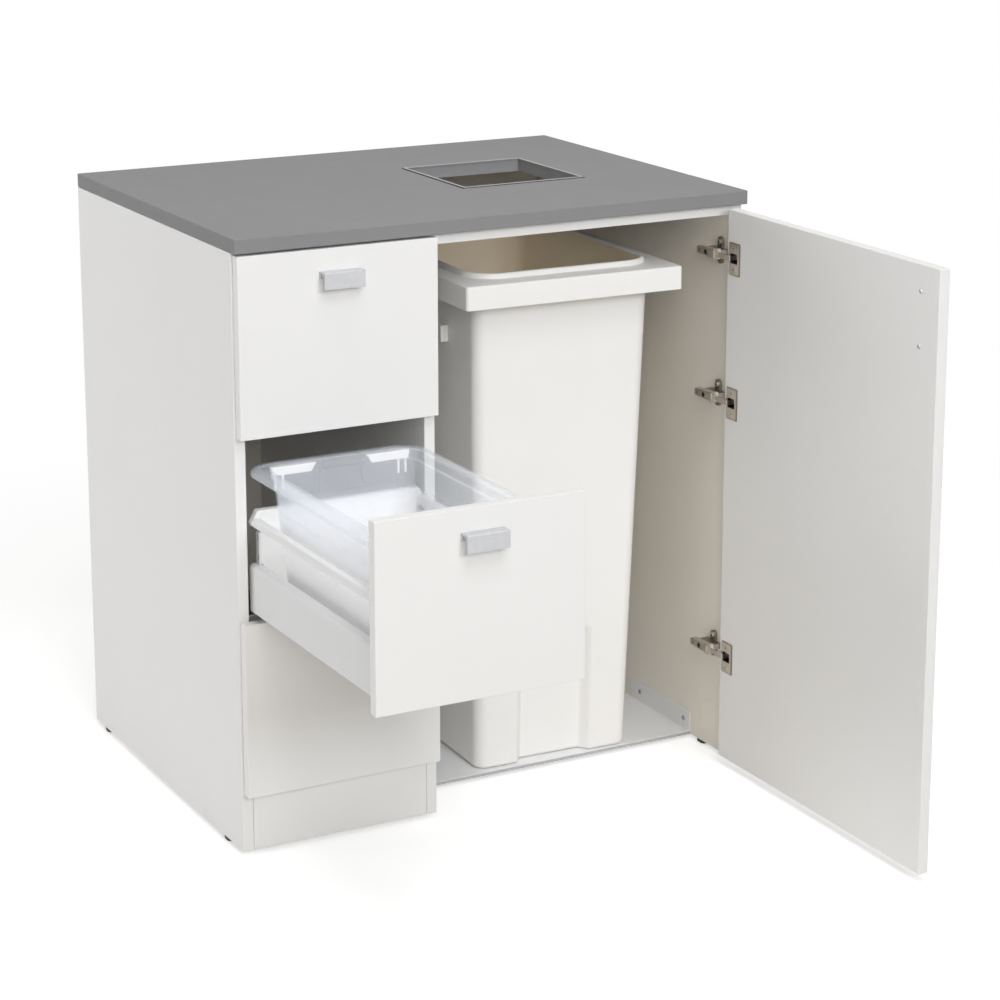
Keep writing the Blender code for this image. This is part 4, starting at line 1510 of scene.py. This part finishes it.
@dataclass
class Drawer:
    """One drawer: front, pull, double steel sides with gallery rails, floor and back."""

    row: Row
    floor_edge: float = 0.0006

    # Steel side, with the hook at its rear end
    steel: float = 0.0015
    side_width: float = 0.015
    side_height: float = 0.067
    ledge: float = 0.007
    shoulder: float = 0.007
    inner_shoulder: float = 0.0025
    steel_edge: float = 0.0003
    hook_in: float = 0.003
    hook_thick: float = 0.0012
    hook_lap: float = 0.012
    hook_past: float = 0.003
    hook_low: float = 0.030
    hook_high: float = 0.006
    hook_edge: float = 0.0004

    # Gallery rail
    rail_in: float = 0.002
    rail_thick: float = 0.0135
    rail_width: float = 0.010
    rail_round: float = 0.0030
    rail_edge: float = 0.0006

    # Post, and the two slots in it, whose black fill is painted shade
    post_length: float = 0.009
    post_front: float = 0.0015
    post_out: float = 0.0125
    post_thick: float = 0.0032
    post_air: float = 0.0002
    slot_in: tuple[float, float] = (0.0030, 0.0066)
    slot_half: float = 0.0045
    slot_at: tuple[float, float] = (0.20, 0.82)
    slot_deep: float = 0.002
    slot_shade_in: tuple[float, float] = (0.0006, 0.0019)
    slot_shade_edge: float = 0.0003

    # End cap of a runner, from the front end and the lower edge of its fixed member
    cap_thick: float = 0.0031
    cap_front: float = 0.0012
    cap_back: float = 0.008
    cap_low: float = 0.0015
    cap_high: float = 0.0225
    cap_edge: float = 0.0008

    # Back board
    wing_cut: tuple[float, float] = (0.0085, 0.016)
    wing_edge: float = 0.004
    wing_low: float = 0.030
    back_edge: float = 0.0009

    def build(self, shop: Shop) -> None:
        """Make every piece of this drawer and its runners.

        Args:
            shop: Where the pieces are made.
        """
        name, body = self.row.value, self.row.value + "_drawer"
        shop.board(body + "_front", body)
        shop.board(body + "_floor", body, WHITE, self.floor_edge)
        pull = Handle().form(*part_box(body + "_handle"), TO_FRONT, DOWN)
        shop.piece(pull, body + "_pull", body, SATIN_X, body + "_handle")
        self.back(shop, body)
        for hand in Hand:
            self.rail(shop, body, hand)
            self.side(shop, body, hand)
            self.post(shop, body, hand)
            member = "{}_runner_member_{}".format(name, hand.word)
            shop.keep(member, ZINC)
            shop.keep("{}_runner_slide_{}".format(name, hand.word), ZINC)
            self.cap(shop, member, hand)

    def cap(self, shop: Shop, node: str, hand: Hand) -> None:
        """Make the black end cap of a runner's fixed member.

        Args:
            shop: Where the piece is made.
            node: The member's node.
            hand: The side that it is on.
        """
        low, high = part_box(node)
        x0, x1 = hand.span(hand.outer(low, high), 0.0, self.cap_thick)
        form = Form.cube((x0, low.y - self.cap_front, low.z + self.cap_low),
                         (x1, low.y + self.cap_back, low.z + self.cap_high))
        shop.piece(form.soften(self.cap_edge, 2), node + "_cap", "cabinet", BLACK)

    def back(self, shop: Shop, body: str) -> None:
        """Make the back board: upright edges at the posts, and wings at rail height with corners cut off.

        Args:
            shop: Where the piece is made.
            body: The drawer's body.
        """
        low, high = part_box(body + "_back")
        _, floor_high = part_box(body + "_floor")
        side_low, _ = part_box(body + "_side_right")
        shoulder = side_low.z + self.side_height + AIR
        cut_x, cut_z = self.wing_cut
        waist = high.x - self.post_out
        half = [(floor_high.x, low.z), (floor_high.x, shoulder), (waist, shoulder),
                (waist, high.z - self.wing_low), (high.x, high.z - cut_z - self.wing_edge),
                (high.x, high.z - cut_z), (high.x - cut_x, high.z)]
        outline = half + [(low.x + high.x - x, z) for x, z in reversed(half)]
        form = Form.prism([Vector((x, low.y, z)) for x, z in outline], Axis.Y.vector(high.y - low.y))
        shop.piece(form.soften(self.back_edge), body + "_back_board", body, WHITE, body + "_back")

    def rail(self, shop: Shop, body: str, hand: Hand) -> None:
        """Make a gallery rail, from the front to the back board.

        Args:
            shop: Where the piece is made.
            body: The drawer's body.
            hand: The side that it is on.
        """
        node = "{}_side_{}".format(body, hand.word)
        low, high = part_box(node)
        back_low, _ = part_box(body + "_back")
        x0, x1 = hand.span(hand.outer(low, high), self.rail_in, self.rail_in + self.rail_width)
        form = Form.cube((x0, low.y, high.z - self.rail_thick), (x1, back_low.y - AIR, high.z))
        form.soften(self.rail_round, 4, runs_along(Axis.Y)).soften(self.rail_edge, 2, angle=STILL_SHARP)
        shop.piece(form, node + "_rail", body, PLATE)

    def side(self, shop: Shop, body: str, hand: Hand) -> None:
        """Make a steel side: a rounded box section with a ledge for the floor, and a hook at its rear end.

        Args:
            shop: Where the piece is made.
            body: The drawer's body.
            hand: The side that it is on.
        """
        node = "{}_side_{}".format(body, hand.word)
        low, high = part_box(node)
        _, back_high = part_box(body + "_back")
        face = hand.outer(low, high)
        w, h, t = self.side_width, self.side_height, self.steel
        section = [(0, 0), (t, 0), (t, h - t), (w - t, h - t), (w - t, 0), (w + self.ledge, 0),
                   (w + self.ledge, t), (w, t), (w, h), (0, h)]
        outline = [Vector((face + hand.value * u, low.y, low.z + v)) for u, v in section]
        form = Form.prism(outline, Axis.Y.vector(high.y - low.y))

        def long_edge(u: float, v: float) -> EdgeTest:
            """A test for the long edge at one point of the section."""
            x, z = face + hand.value * u, low.z + v
            return lambda edge: all(math.hypot(vert.co.x - x, vert.co.z - z) < REGION_SLACK
                                    for vert in edge.verts)

        form.soften(self.shoulder, 5, long_edge(0, h)).soften(self.shoulder - t, 5, long_edge(t, h - t))
        form.soften(self.inner_shoulder, 4, long_edge(w, h)).soften(self.steel_edge, 1, angle=STILL_SHARP)
        x0, x1 = hand.span(face, self.hook_in, self.hook_in + self.hook_thick)
        hook = Form.cube((x0, high.y - self.hook_lap, low.z + h - self.hook_low),
                         (x1, back_high.y + self.hook_past, low.z + h - self.hook_high))
        form.join(hook.soften(self.hook_edge, 2))
        shop.piece(form, node + "_folded", body, COATED, node)

    def post(self, shop: Shop, body: str, hand: Hand) -> None:
        """Make the bracket at the back board's upright edge, with two slots in its outer face that are filled
        black as painted shade.

        Args:
            shop: Where the pieces are made.
            body: The drawer's body.
            hand: The side that it is on.
        """
        node = "{}_side_{}".format(body, hand.word)
        low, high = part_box(node)
        back_low, back_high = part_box(body + "_back")
        inner = self.post_out - self.post_air
        x0, x1 = hand.span(hand.outer(low, high), inner - self.post_thick, inner)
        y0, y1 = back_low.y - self.post_front, back_low.y + self.post_length
        z0, z1 = low.z + self.side_height + self.post_air, back_high.z - self.wing_low - AIR
        form = Form.cube((x0, y0, z0), (x1, y1, z1))
        s0, s1 = (y0 + inset for inset in self.slot_in)
        middles = [z0 + (z1 - z0) * share for share in self.slot_at]
        slots = [(middle - self.slot_half, middle + self.slot_half) for middle in middles]
        form.cut(Axis.Y, s0, s1)
        for bottom, top in slots:
            form.cut(Axis.Z, bottom, top)
        face = x0 if hand is Hand.LEFT else x1
        d0, d1 = hand.span(face, *self.slot_shade_in)
        air = self.post_air
        dark = Form()
        for bottom, top in slots:
            form.push(Axis.X.vector(-hand.value), (face, s0, bottom), (face, s1, top), -self.slot_deep)
            # A black fill sunk in each slot: painted shade for its depth
            fill = Form.cube((d0, s0 + air, bottom + air), (d1, s1 - air, top - air))
            dark.join(fill.soften(self.slot_shade_edge, 1))
        shop.piece(form, node + "_post", body, COATED)
        shop.piece(dark, node + "_post_slots", body, BLACK)


# Loose pieces

@dataclass
class Tub:
    """The clear tub: flared rim, lid step, drawn-in walls, grips and ribs at its ends."""

    # Walls
    wall: float = 0.0022
    draft: float = 0.016
    corner: float = 0.045
    body_corner: float = 0.028
    body_shrink: float = 0.5
    base_round: float = 0.008
    corner_steps: int = 8

    # Lid step, and the edge of the mouth above it: below the top, and inwards
    step: float = 0.013
    step_in: float = 0.003
    step_slope: float = 0.002
    mouth_edge: tuple[float, float] = (0.0004, 0.0012)
    mouth_low: float = 0.0018

    # Flared flange, and the skirt that hangs from its outer bend
    lip_side: float = 0.024
    lip_end: float = 0.032
    lip_bend: float = 0.003
    flare_in: float = 0.004
    flare_corner: float = 0.002
    flare_power: float = 1.6
    flare_shares: tuple[float, ...] = (0.0, 0.35, 0.7, 1.0)
    slope: float = 0.0035
    drop: float = 0.0105
    skirt_round: float = 0.0012
    skirt_shoulder: float = 0.0036
    skirt_inner: tuple[float, float] = (0.0025, 0.0006)

    # Grips and ribs
    grip_near: float = 0.037
    grip_far: float = 0.104
    grip_high: float = 0.0125
    grip_deep: float = 0.009
    grip_air: float = 0.0006
    grip_drop: float = 0.0012
    grip_taper: tuple[float, float] = (0.008, 0.003)
    grip_edge: float = 0.0016
    rib_high: float = 0.020
    rib_lap: float = 0.001
    rib_half: float = 0.0014
    rib_spread: float = 0.0055
    rib_in: float = 0.012
    rib_deep: tuple[float, float] = (0.003, 0.0075)
    rib_edge: float = 0.0006

    # Whiter, less clear plastic towards the foot, painted light for the light that shines through there: how
    # much, and the two depths below the top that it grows between
    haze_painted_light: float = 0.25
    haze_painted_light_depths: tuple[float, float] = (0.045, 0.11)

    def build(self, shop: Shop) -> None:
        """Make the shell and its grips.

        Args:
            shop: Where the pieces are made.
        """
        low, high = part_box("tub")
        start, end = (high.z - depth for depth in self.haze_painted_light_depths)
        plastic = replace(CLEAR, haze_painted_light=self.haze_painted_light, haze_painted_light_from=start, haze_painted_light_to=end)
        shop.piece(self.shell(low, high), "tub_shell", "middle_drawer", plastic, "tub", crease=50.0)
        shop.piece(self.grips(low, high), "tub_grips", "middle_drawer", FROSTED)

    def shell(self, low: Vector, high: Vector) -> Form:
        """The outside from the base to the flange, over its skirt and down the inside.

        Args:
            low: The lowest corner of the tub's node.
            high: Its highest corner.

        Returns:
            The closed form.
        """
        w, step, top = self.wall, self.step_in, high.z

        def rung(z: float, side: float, end: float, radius: float) -> Section:
            """A level rung, set in from the rim's outline by a side and an end measure."""
            return Section(low.x + side, high.x - side, low.y + end, high.y - end, radius, z,
                           self.corner_steps)

        def body(z: float, inset: float) -> Section:
            """A rung of the drawn-in body, set in from its outside."""
            inwards = self.draft * (top - z) / (top - low.z) + inset
            return rung(z, self.lip_side + inwards, self.lip_end + inwards,
                        self.body_corner - inset * self.body_shrink)

        def rim(z: float, inset: float) -> Section:
            """A rung of the skirt, in from its outline."""
            return rung(z, inset, inset, self.corner - inset)

        def flare(share: float, under: float) -> Section:
            """A rung of the flared flange.

            Args:
                share: Its place, from the lid step at 0 to the outer bend at 1.
                under: How far it lies below the flange's upper face.

            Returns:
                The rung.
            """
            near, far = 1 - share, self.flare_in * share
            side = (self.lip_side - step - self.lip_bend) * near + far
            end = (self.lip_end - step - self.lip_bend) * near + far
            radius = (self.body_corner + self.flare_corner) * near + (self.corner - self.flare_in) * share
            return rung(top - self.slope * share ** self.flare_power - under, side, end, radius)

        ledge, skirt, hem = top - self.step, top - self.slope, top - self.drop
        edge_low, edge_in = self.mouth_edge
        inner_low, inner_in = self.skirt_inner
        outside = [*round_foot(body, low.z, 0.0, self.base_round), body(ledge - self.step_slope, 0.0),
                   body(ledge, -step), body(top - w - self.step_slope, -step)]
        under = [flare(share, w) for share in self.flare_shares]
        border = [rim(skirt - w - inner_low, w + inner_in), rim(hem, w), rim(hem, 0.0),
                  rim(skirt - self.skirt_shoulder, 0.0), rim(skirt - self.skirt_round, self.skirt_round)]
        over = [flare(share, 0.0) for share in reversed(self.flare_shares)]
        inside = [body(top - edge_low, edge_in - step), body(top - self.mouth_low, w - step),
                  body(ledge, w - step), body(ledge - self.step_slope, w),
                  *reversed(round_foot(body, low.z + w, w, self.base_round))]
        return Form.loft(outside + under + border + over + inside)

    def grips(self, low: Vector, high: Vector) -> Form:
        """Two grip ledges with a pair of ribs under each, inside both ends.

        Args:
            low: The lowest corner of the tub's node.
            high: Its highest corner.

        Returns:
            The ledges and ribs.
        """
        form = Form()
        middle = (low.x + high.x) / 2
        inner = self.lip_end + self.wall - self.step_in + self.grip_air
        top = high.z - self.grip_drop
        foot = top - self.grip_high
        near_in, far_in = self.grip_taper
        for end, inward in ((low.y + inner, 1.0), (high.y - inner, -1.0)):
            y0, y1 = sorted(end + inward * deep for deep in self.rib_deep)
            for side in (-1.0, 1.0):
                near, far = middle + side * self.grip_near, middle + side * self.grip_far
                outline = [(near, top), (far, top), (far - side * far_in, foot),
                           (near + side * near_in, foot)]
                ledge = Form.prism([Vector((x, end, z)) for x, z in outline],
                                   Axis.Y.vector(inward * self.grip_deep))
                form.join(ledge.soften(self.grip_edge, 3))
                for spread in (-self.rib_spread, self.rib_spread):
                    x = middle + side * (self.grip_far - self.rib_in) + spread
                    rib = Form.cube((x - self.rib_half, y0, foot - self.rib_high),
                                    (x + self.rib_half, y1, foot + self.rib_lap))
                    form.join(rib.soften(self.rib_edge, 2))
        return form


@dataclass
class WasteBin:
    """The tall bin: tapered body with a foot recess, collar with a deep apron, rounded neck and side lugs."""

    # How the moulding stands in its node's box: degrees about the upright, and what each side draws in
    twist: float = -1.8
    draw_in: tuple[float, float] = (0.0085, -0.003)

    # Body
    wall: float = 0.003
    draft_side: float = 0.016
    draft_front: float = 0.0295
    corner: float = 0.019
    base_round: float = 0.006
    corner_steps: int = 8

    # Collar with its apron, and the throat of the body under it: above the collar's underside, and inwards
    collar_side: float = 0.0315
    collar_front: float = 0.037
    collar_round: float = 0.005
    collar_shrink: float = 0.5
    collar_least: float = 0.002
    collar_edge: float = 0.003
    apron: float = 0.0345
    apron_edge: float = 0.0006
    apron_inner: float = 0.7
    throat: Profile = ((-0.004, 0.0), (-0.001, -0.001), (0.0, -0.004))

    # Neck: above the collar, and above the brim, each with the inset from the body's wall
    neck: float = 0.008
    neck_corner: float = 0.042
    neck_foot: Profile = ((0.0, -0.007), (0.0006, -0.0045))
    neck_brim: Profile = ((-0.003, -0.0035), (-0.0009, -0.0026), (0.0, -0.0005), (-0.0008, 0.0018))
    brim_low: float = 0.003
    neck_inside: float = 0.030

    # Recess in the front's foot
    recess_half: float = 0.0475
    recess_slope: float = 0.016
    recess_depth: float = 0.015
    recess_height: float = 0.180
    recess_fade: float = 0.025
    recess_steps: int = 8

    # Lugs, and where the painted shade inside the moulding begins
    lug_size: Triple = (0.011, 0.007, 0.025)
    lug_drop: float = 0.091
    lug_in: float = 0.093
    lug_root: float = 0.0025
    lug_edge: float = 0.0016
    shade_slack: float = 0.002
    shade_turn: float = -0.3
    floor_turn: float = 0.5

    def build(self, shop: Shop) -> None:
        """Make the moulding, turned a little in its bay.

        Args:
            shop: Where the piece is made.
        """
        low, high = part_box("bin")
        low = low + Axis.X.vector(self.draw_in[0])
        high = high - Axis.X.vector(self.draw_in[1])
        form = self.shell(low, high)
        self.recess(form, low, high)
        self.lugs(form, low, high)
        self.paint_inner_shade(form, low, high)
        middle = Matrix.Translation(((low.x + high.x) / 2, (low.y + high.y) / 2, 0))
        form.turn(middle @ Matrix.Rotation(math.radians(self.twist), 4, "Z") @ middle.inverted())
        # The faces inside take a warm brownish tone, painted shade for the inside of the bin
        shop.piece(form, "waste_bin", "cabinet", BIN_WHITE, "bin", crease=50.0, second=BIN_PAINTED_SHADE)

    def body(self, low: Vector, high: Vector, z: float, inset: float, radius: float) -> Section:
        """A rung of the tapered wall.

        Args:
            low: The lowest corner of the moulding.
            high: Its highest corner.
            z: The rung's height.
            inset: How far it lies inside the wall's outer face.
            radius: The outer face's corner radius.

        Returns:
            The rung.
        """
        share = (z - low.z) / (high.z - self.neck - self.wall - low.z)
        side = self.collar_side + self.draft_side * (1 - share) + inset
        front = self.collar_front + self.draft_front * (1 - share) + inset
        return Section(low.x + side, high.x - side, low.y + front, high.y - front, radius - inset, z,
                       self.corner_steps)

    def shell(self, low: Vector, high: Vector) -> Form:
        """The outside from the base to the collar, over the neck and down the inside.

        Args:
            low: The lowest corner of the moulding.
            high: Its highest corner.

        Returns:
            The closed form.
        """
        w, r = self.wall, self.collar_edge
        collar = high.z - self.neck
        under, lip = collar - w, collar - self.apron
        bulge = r * ROUND_MIDDLE

        def wall(z: float, inset: float) -> Section:
            """A rung of the body."""
            return self.body(low, high, z, inset, self.corner)

        def neck(z: float, inset: float) -> Section:
            """A rung of the neck, with rounder corners."""
            return self.body(low, high, z, inset, self.neck_corner)

        def skirt(z: float, inset: float) -> Section:
            """A rung of the collar, in from its outline."""
            radius = max(self.collar_round - inset * self.collar_shrink, self.collar_least)
            return Section(low.x + inset, high.x - inset, low.y + inset, high.y - inset, radius, z,
                           self.corner_steps)

        outside = [*round_foot(wall, low.z, 0.0, self.base_round),
                   *(wall(under + up, inset) for up, inset in self.throat)]
        apron = [skirt(under, w), skirt(lip, w), skirt(lip, w * self.apron_inner),
                 skirt(lip, self.apron_edge), skirt(lip + self.apron_edge, 0.0), skirt(collar - r, 0.0),
                 skirt(collar - bulge, bulge), skirt(collar, r)]
        brim = [*(neck(collar + up, inset) for up, inset in self.neck_foot),
                *(neck(high.z + up, inset) for up, inset in self.neck_brim), neck(high.z - self.brim_low, w)]
        inside = [wall(under - self.neck_inside, w),
                  *reversed(round_foot(wall, low.z + w, w, self.base_round))]
        return Form.loft(outside + apron + brim + inside)

    def recess(self, form: Form, low: Vector, high: Vector) -> None:
        """Sink the middle of the front's foot between two legs, with soft flanks.

        Args:
            form: The moulding.
            low: Its lowest corner.
            high: Its highest corner.
        """
        middle = (low + high) / 2
        top = low.z + self.recess_height
        shares = [step / self.recess_steps for step in range(self.recess_steps + 1)]
        for side in (-1.0, 1.0):
            form.cut(Axis.X, *[middle.x + side * (self.recess_half + self.recess_slope * share)
                               for share in shares])
        form.cut(Axis.Z, *[top + self.recess_fade * share for share in shares])

        def sink(point: Vector) -> Vector:
            """Move a point of the front wall back.

            Args:
                point: Where it is.

            Returns:
                Where it goes.
            """
            if point.y > middle.y or point.z > top + self.recess_fade:
                return point
            across = 1 - ease((abs(point.x - middle.x) - self.recess_half) / self.recess_slope)
            upward = 1 - ease((point.z - top) / self.recess_fade)
            return point + TO_REAR * (self.recess_depth * across * upward)

        form.bend(sink)

    def paint_inner_shade(self, form: Form, low: Vector, high: Vector) -> None:
        """Give the second material, a warm painted shade, to the faces inside the moulding.

        Args:
            form: The moulding.
            low: Its lowest corner.
            high: Its highest corner.
        """
        middle = (low + high) / 2
        reach = high.x - middle.x - self.collar_side + self.shade_slack
        form.bm.normal_update()
        for face in form.bm.faces:
            spot = face.calc_center_median()
            out = Vector((spot.x - middle.x, spot.y - middle.y, 0))
            inside = abs(out.x) < reach and spot.z < high.z - self.shade_slack
            floor = face.normal.z > self.floor_turn and spot.z < middle.z
            if inside and (floor or out.normalized().dot(face.normal) < self.shade_turn):
                face.material_index = 1

    def lugs(self, form: Form, low: Vector, high: Vector) -> None:
        """Add a small lug on each side wall.

        Args:
            form: The moulding.
            low: Its lowest corner.
            high: Its highest corner.
        """
        top = high.z - self.lug_drop
        wide, deep, tall = self.lug_size
        root = self.lug_root
        wall = self.body(low, high, top, 0.0, self.corner)
        front = wall.y0 + self.lug_in
        for x0, x1 in ((wall.x0 - wide, wall.x0 + root), (wall.x1 - root, wall.x1 + wide)):
            lug = Form.cube((x0, front, top - tall), (x1, front + deep, top))
            form.join(lug.soften(self.lug_edge, 3))


# Studio

@dataclass(frozen=True)
class SoftBox:
    """A square area light."""

    name: str
    place: Place
    aim: Place
    size: float
    power: float
    colour: Colour = (1.0, 1.0, 1.0)

    def build(self) -> None:
        """Hang the light."""
        data = bpy.data.lights.new(self.name, "AREA")
        data.size = self.size
        data.energy = self.power
        data.color = self.colour
        lamp = bpy.data.objects.new(self.name, data)
        lamp.location = self.place
        lamp.rotation_euler = (Vector(self.aim) - Vector(self.place)).to_track_quat("-Z", "Y").to_euler()
        bpy.context.scene.collection.objects.link(lamp)


@dataclass(frozen=True)
class Studio:
    """Camera, floor, sky and lamps."""

    eye: Place = (-1.7612, -3.3068, 1.5451)
    azimuth: float = 28.317
    elevation: float = -13.174
    focal: float = 98.55
    sensor: float = 36.0
    rise: float = -0.15
    white: Colour = (1.0, 1.0, 1.0)
    sky: Colour = (1.0, 0.95, 0.86)
    sky_strength: float = 0.015
    floor_size: float = 60.0
    floor_matt: Colour = (0.80, 0.80, 0.80)
    floor_bounce: Colour = (0.80, 0.775, 0.73)
    floor_lift: float = 0.46
    floor_near: float = 0.75
    floor_far: float = 2.2
    lamps: tuple[SoftBox, ...] = (
        SoftBox("key", (0.54, -7.02, 3.42), (0.0, 0.0, 0.45), 1.62, 136.0, (0.94, 1.0, 1.07)),
        SoftBox("fill", (-2.42, -6.12, 3.06), (0.1, 0.0, 0.45), 2.88, 128.0, (1.04, 1.0, 0.95)),
        SoftBox("left", (-3.4, 1.2, 0.85), (-0.2, 0.1, 0.45), 1.6, 42.0, (0.98, 1.0, 1.04)),
        SoftBox("overhead", (0.0, 0.4, 3.4), (0.0, 0.1, 0.45), 2.6, 43.0, (1.02, 1.0, 0.98)),
        SoftBox("rear", (2.9, 3.4, 0.45), (0.1, 0.2, 0.45), 0.8, 105.0),
        SoftBox("front_top", (-0.4, -2.2, 3.2), (0.0, 0.0, 0.45), 1.6, 36.0),
    )

    def build(self) -> None:
        """Set everything up around the object."""
        bpy.context.scene.view_settings.view_transform = "Standard"
        self.camera()
        self.world()
        self.floor()
        for lamp in self.lamps:
            lamp.build()

    def camera(self) -> None:
        """A camera at the photograph's place, with its view moved down in the frame."""
        data = bpy.data.cameras.new("camera")
        data.sensor_width = self.sensor
        data.lens = self.focal
        data.shift_y = self.rise
        camera = bpy.data.objects.new("camera", data)
        camera.location = self.eye
        camera.rotation_euler = (math.radians(90 + self.elevation), 0.0, -math.radians(self.azimuth))
        bpy.context.scene.collection.objects.link(camera)
        bpy.context.scene.camera = camera

    def world(self) -> None:
        """A warm soft sky that looks white to the camera, to mirrors and through clear plastic."""
        world = bpy.data.worlds.new("sky")
        world.use_nodes = True
        world.node_tree.nodes.clear()
        bpy.context.scene.world = world
        graph = Graph(world.node_tree)
        soft, white = [graph.node("ShaderNodeBackground", {}, {"Color": (*colour, 1.0), "Strength": strength})
                       for colour, strength in ((self.sky, self.sky_strength), (self.white, 1.0))]
        graph.node("ShaderNodeOutputWorld", {}, {0: graph.choose(graph.seen(), soft, white).outputs[0]})

    def floor(self) -> None:
        """A pale floor that keeps the object's shadow, and looks white where it has none."""
        form = Form()
        bmesh.ops.create_grid(form.bm, x_segments=1, y_segments=1, size=self.floor_size / 2)
        material = bpy.data.materials.new("studio_floor")
        material.use_nodes = True
        material.node_tree.nodes.clear()
        graph = Graph(material.node_tree)
        bounce, matt = [graph.node("ShaderNodeBsdfDiffuse", {}, {"Color": (*colour, 1.0)})
                        for colour in (self.floor_bounce, self.floor_matt)]
        light = (*self.white, 1.0)
        glow, white = [graph.node("ShaderNodeEmission", {}, {"Color": light, "Strength": strength})
                       for strength in (self.floor_lift, 1.0)]
        near = graph.node("ShaderNodeAddShader", {}, {0: matt.outputs[0], 1: glow.outputs[0]})
        place = graph.node("ShaderNodeTexCoord", {}, {}).outputs["Object"]
        reach = graph.node("ShaderNodeVectorMath", {"operation": "LENGTH"}, {0: place}).outputs["Value"]
        ramp = graph.node("ShaderNodeMapRange", {"interpolation_type": "SMOOTHSTEP"},
                          {0: reach, 1: self.floor_near, 2: self.floor_far})
        fade = graph.choose(Signal(graph, ramp.outputs[0]), near, white)
        graph.node("ShaderNodeOutputMaterial", {}, {0: graph.choose(graph.seen(), bounce, fade).outputs[0]})
        mesh = form.mesh("floor")
        mesh.materials.append(material)
        floor = bpy.data.objects.new("floor", mesh)
        bpy.context.scene.collection.objects.link(floor)


def clear_scene() -> None:
    """Remove whatever the open file holds."""
    for item in list(bpy.data.objects):
        bpy.data.objects.remove(item, do_unlink=True)


def main() -> None:
    """Load the frame, dress every sub-assembly and set up the studio."""
    logging.basicConfig(level=logging.INFO, format="%(name)s: %(message)s")
    clear_scene()
    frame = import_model()
    shop = Shop(frame["nodes"])
    Carcass().build(shop)
    Worktop().build(shop)
    Door().build(shop)
    Hinge().build(shop)
    for row in Row:
        Drawer(row).build(shop)
    Tub().build(shop)
    WasteBin().build(shop)
    Studio().build()


if __name__ == "__main__":
    main()
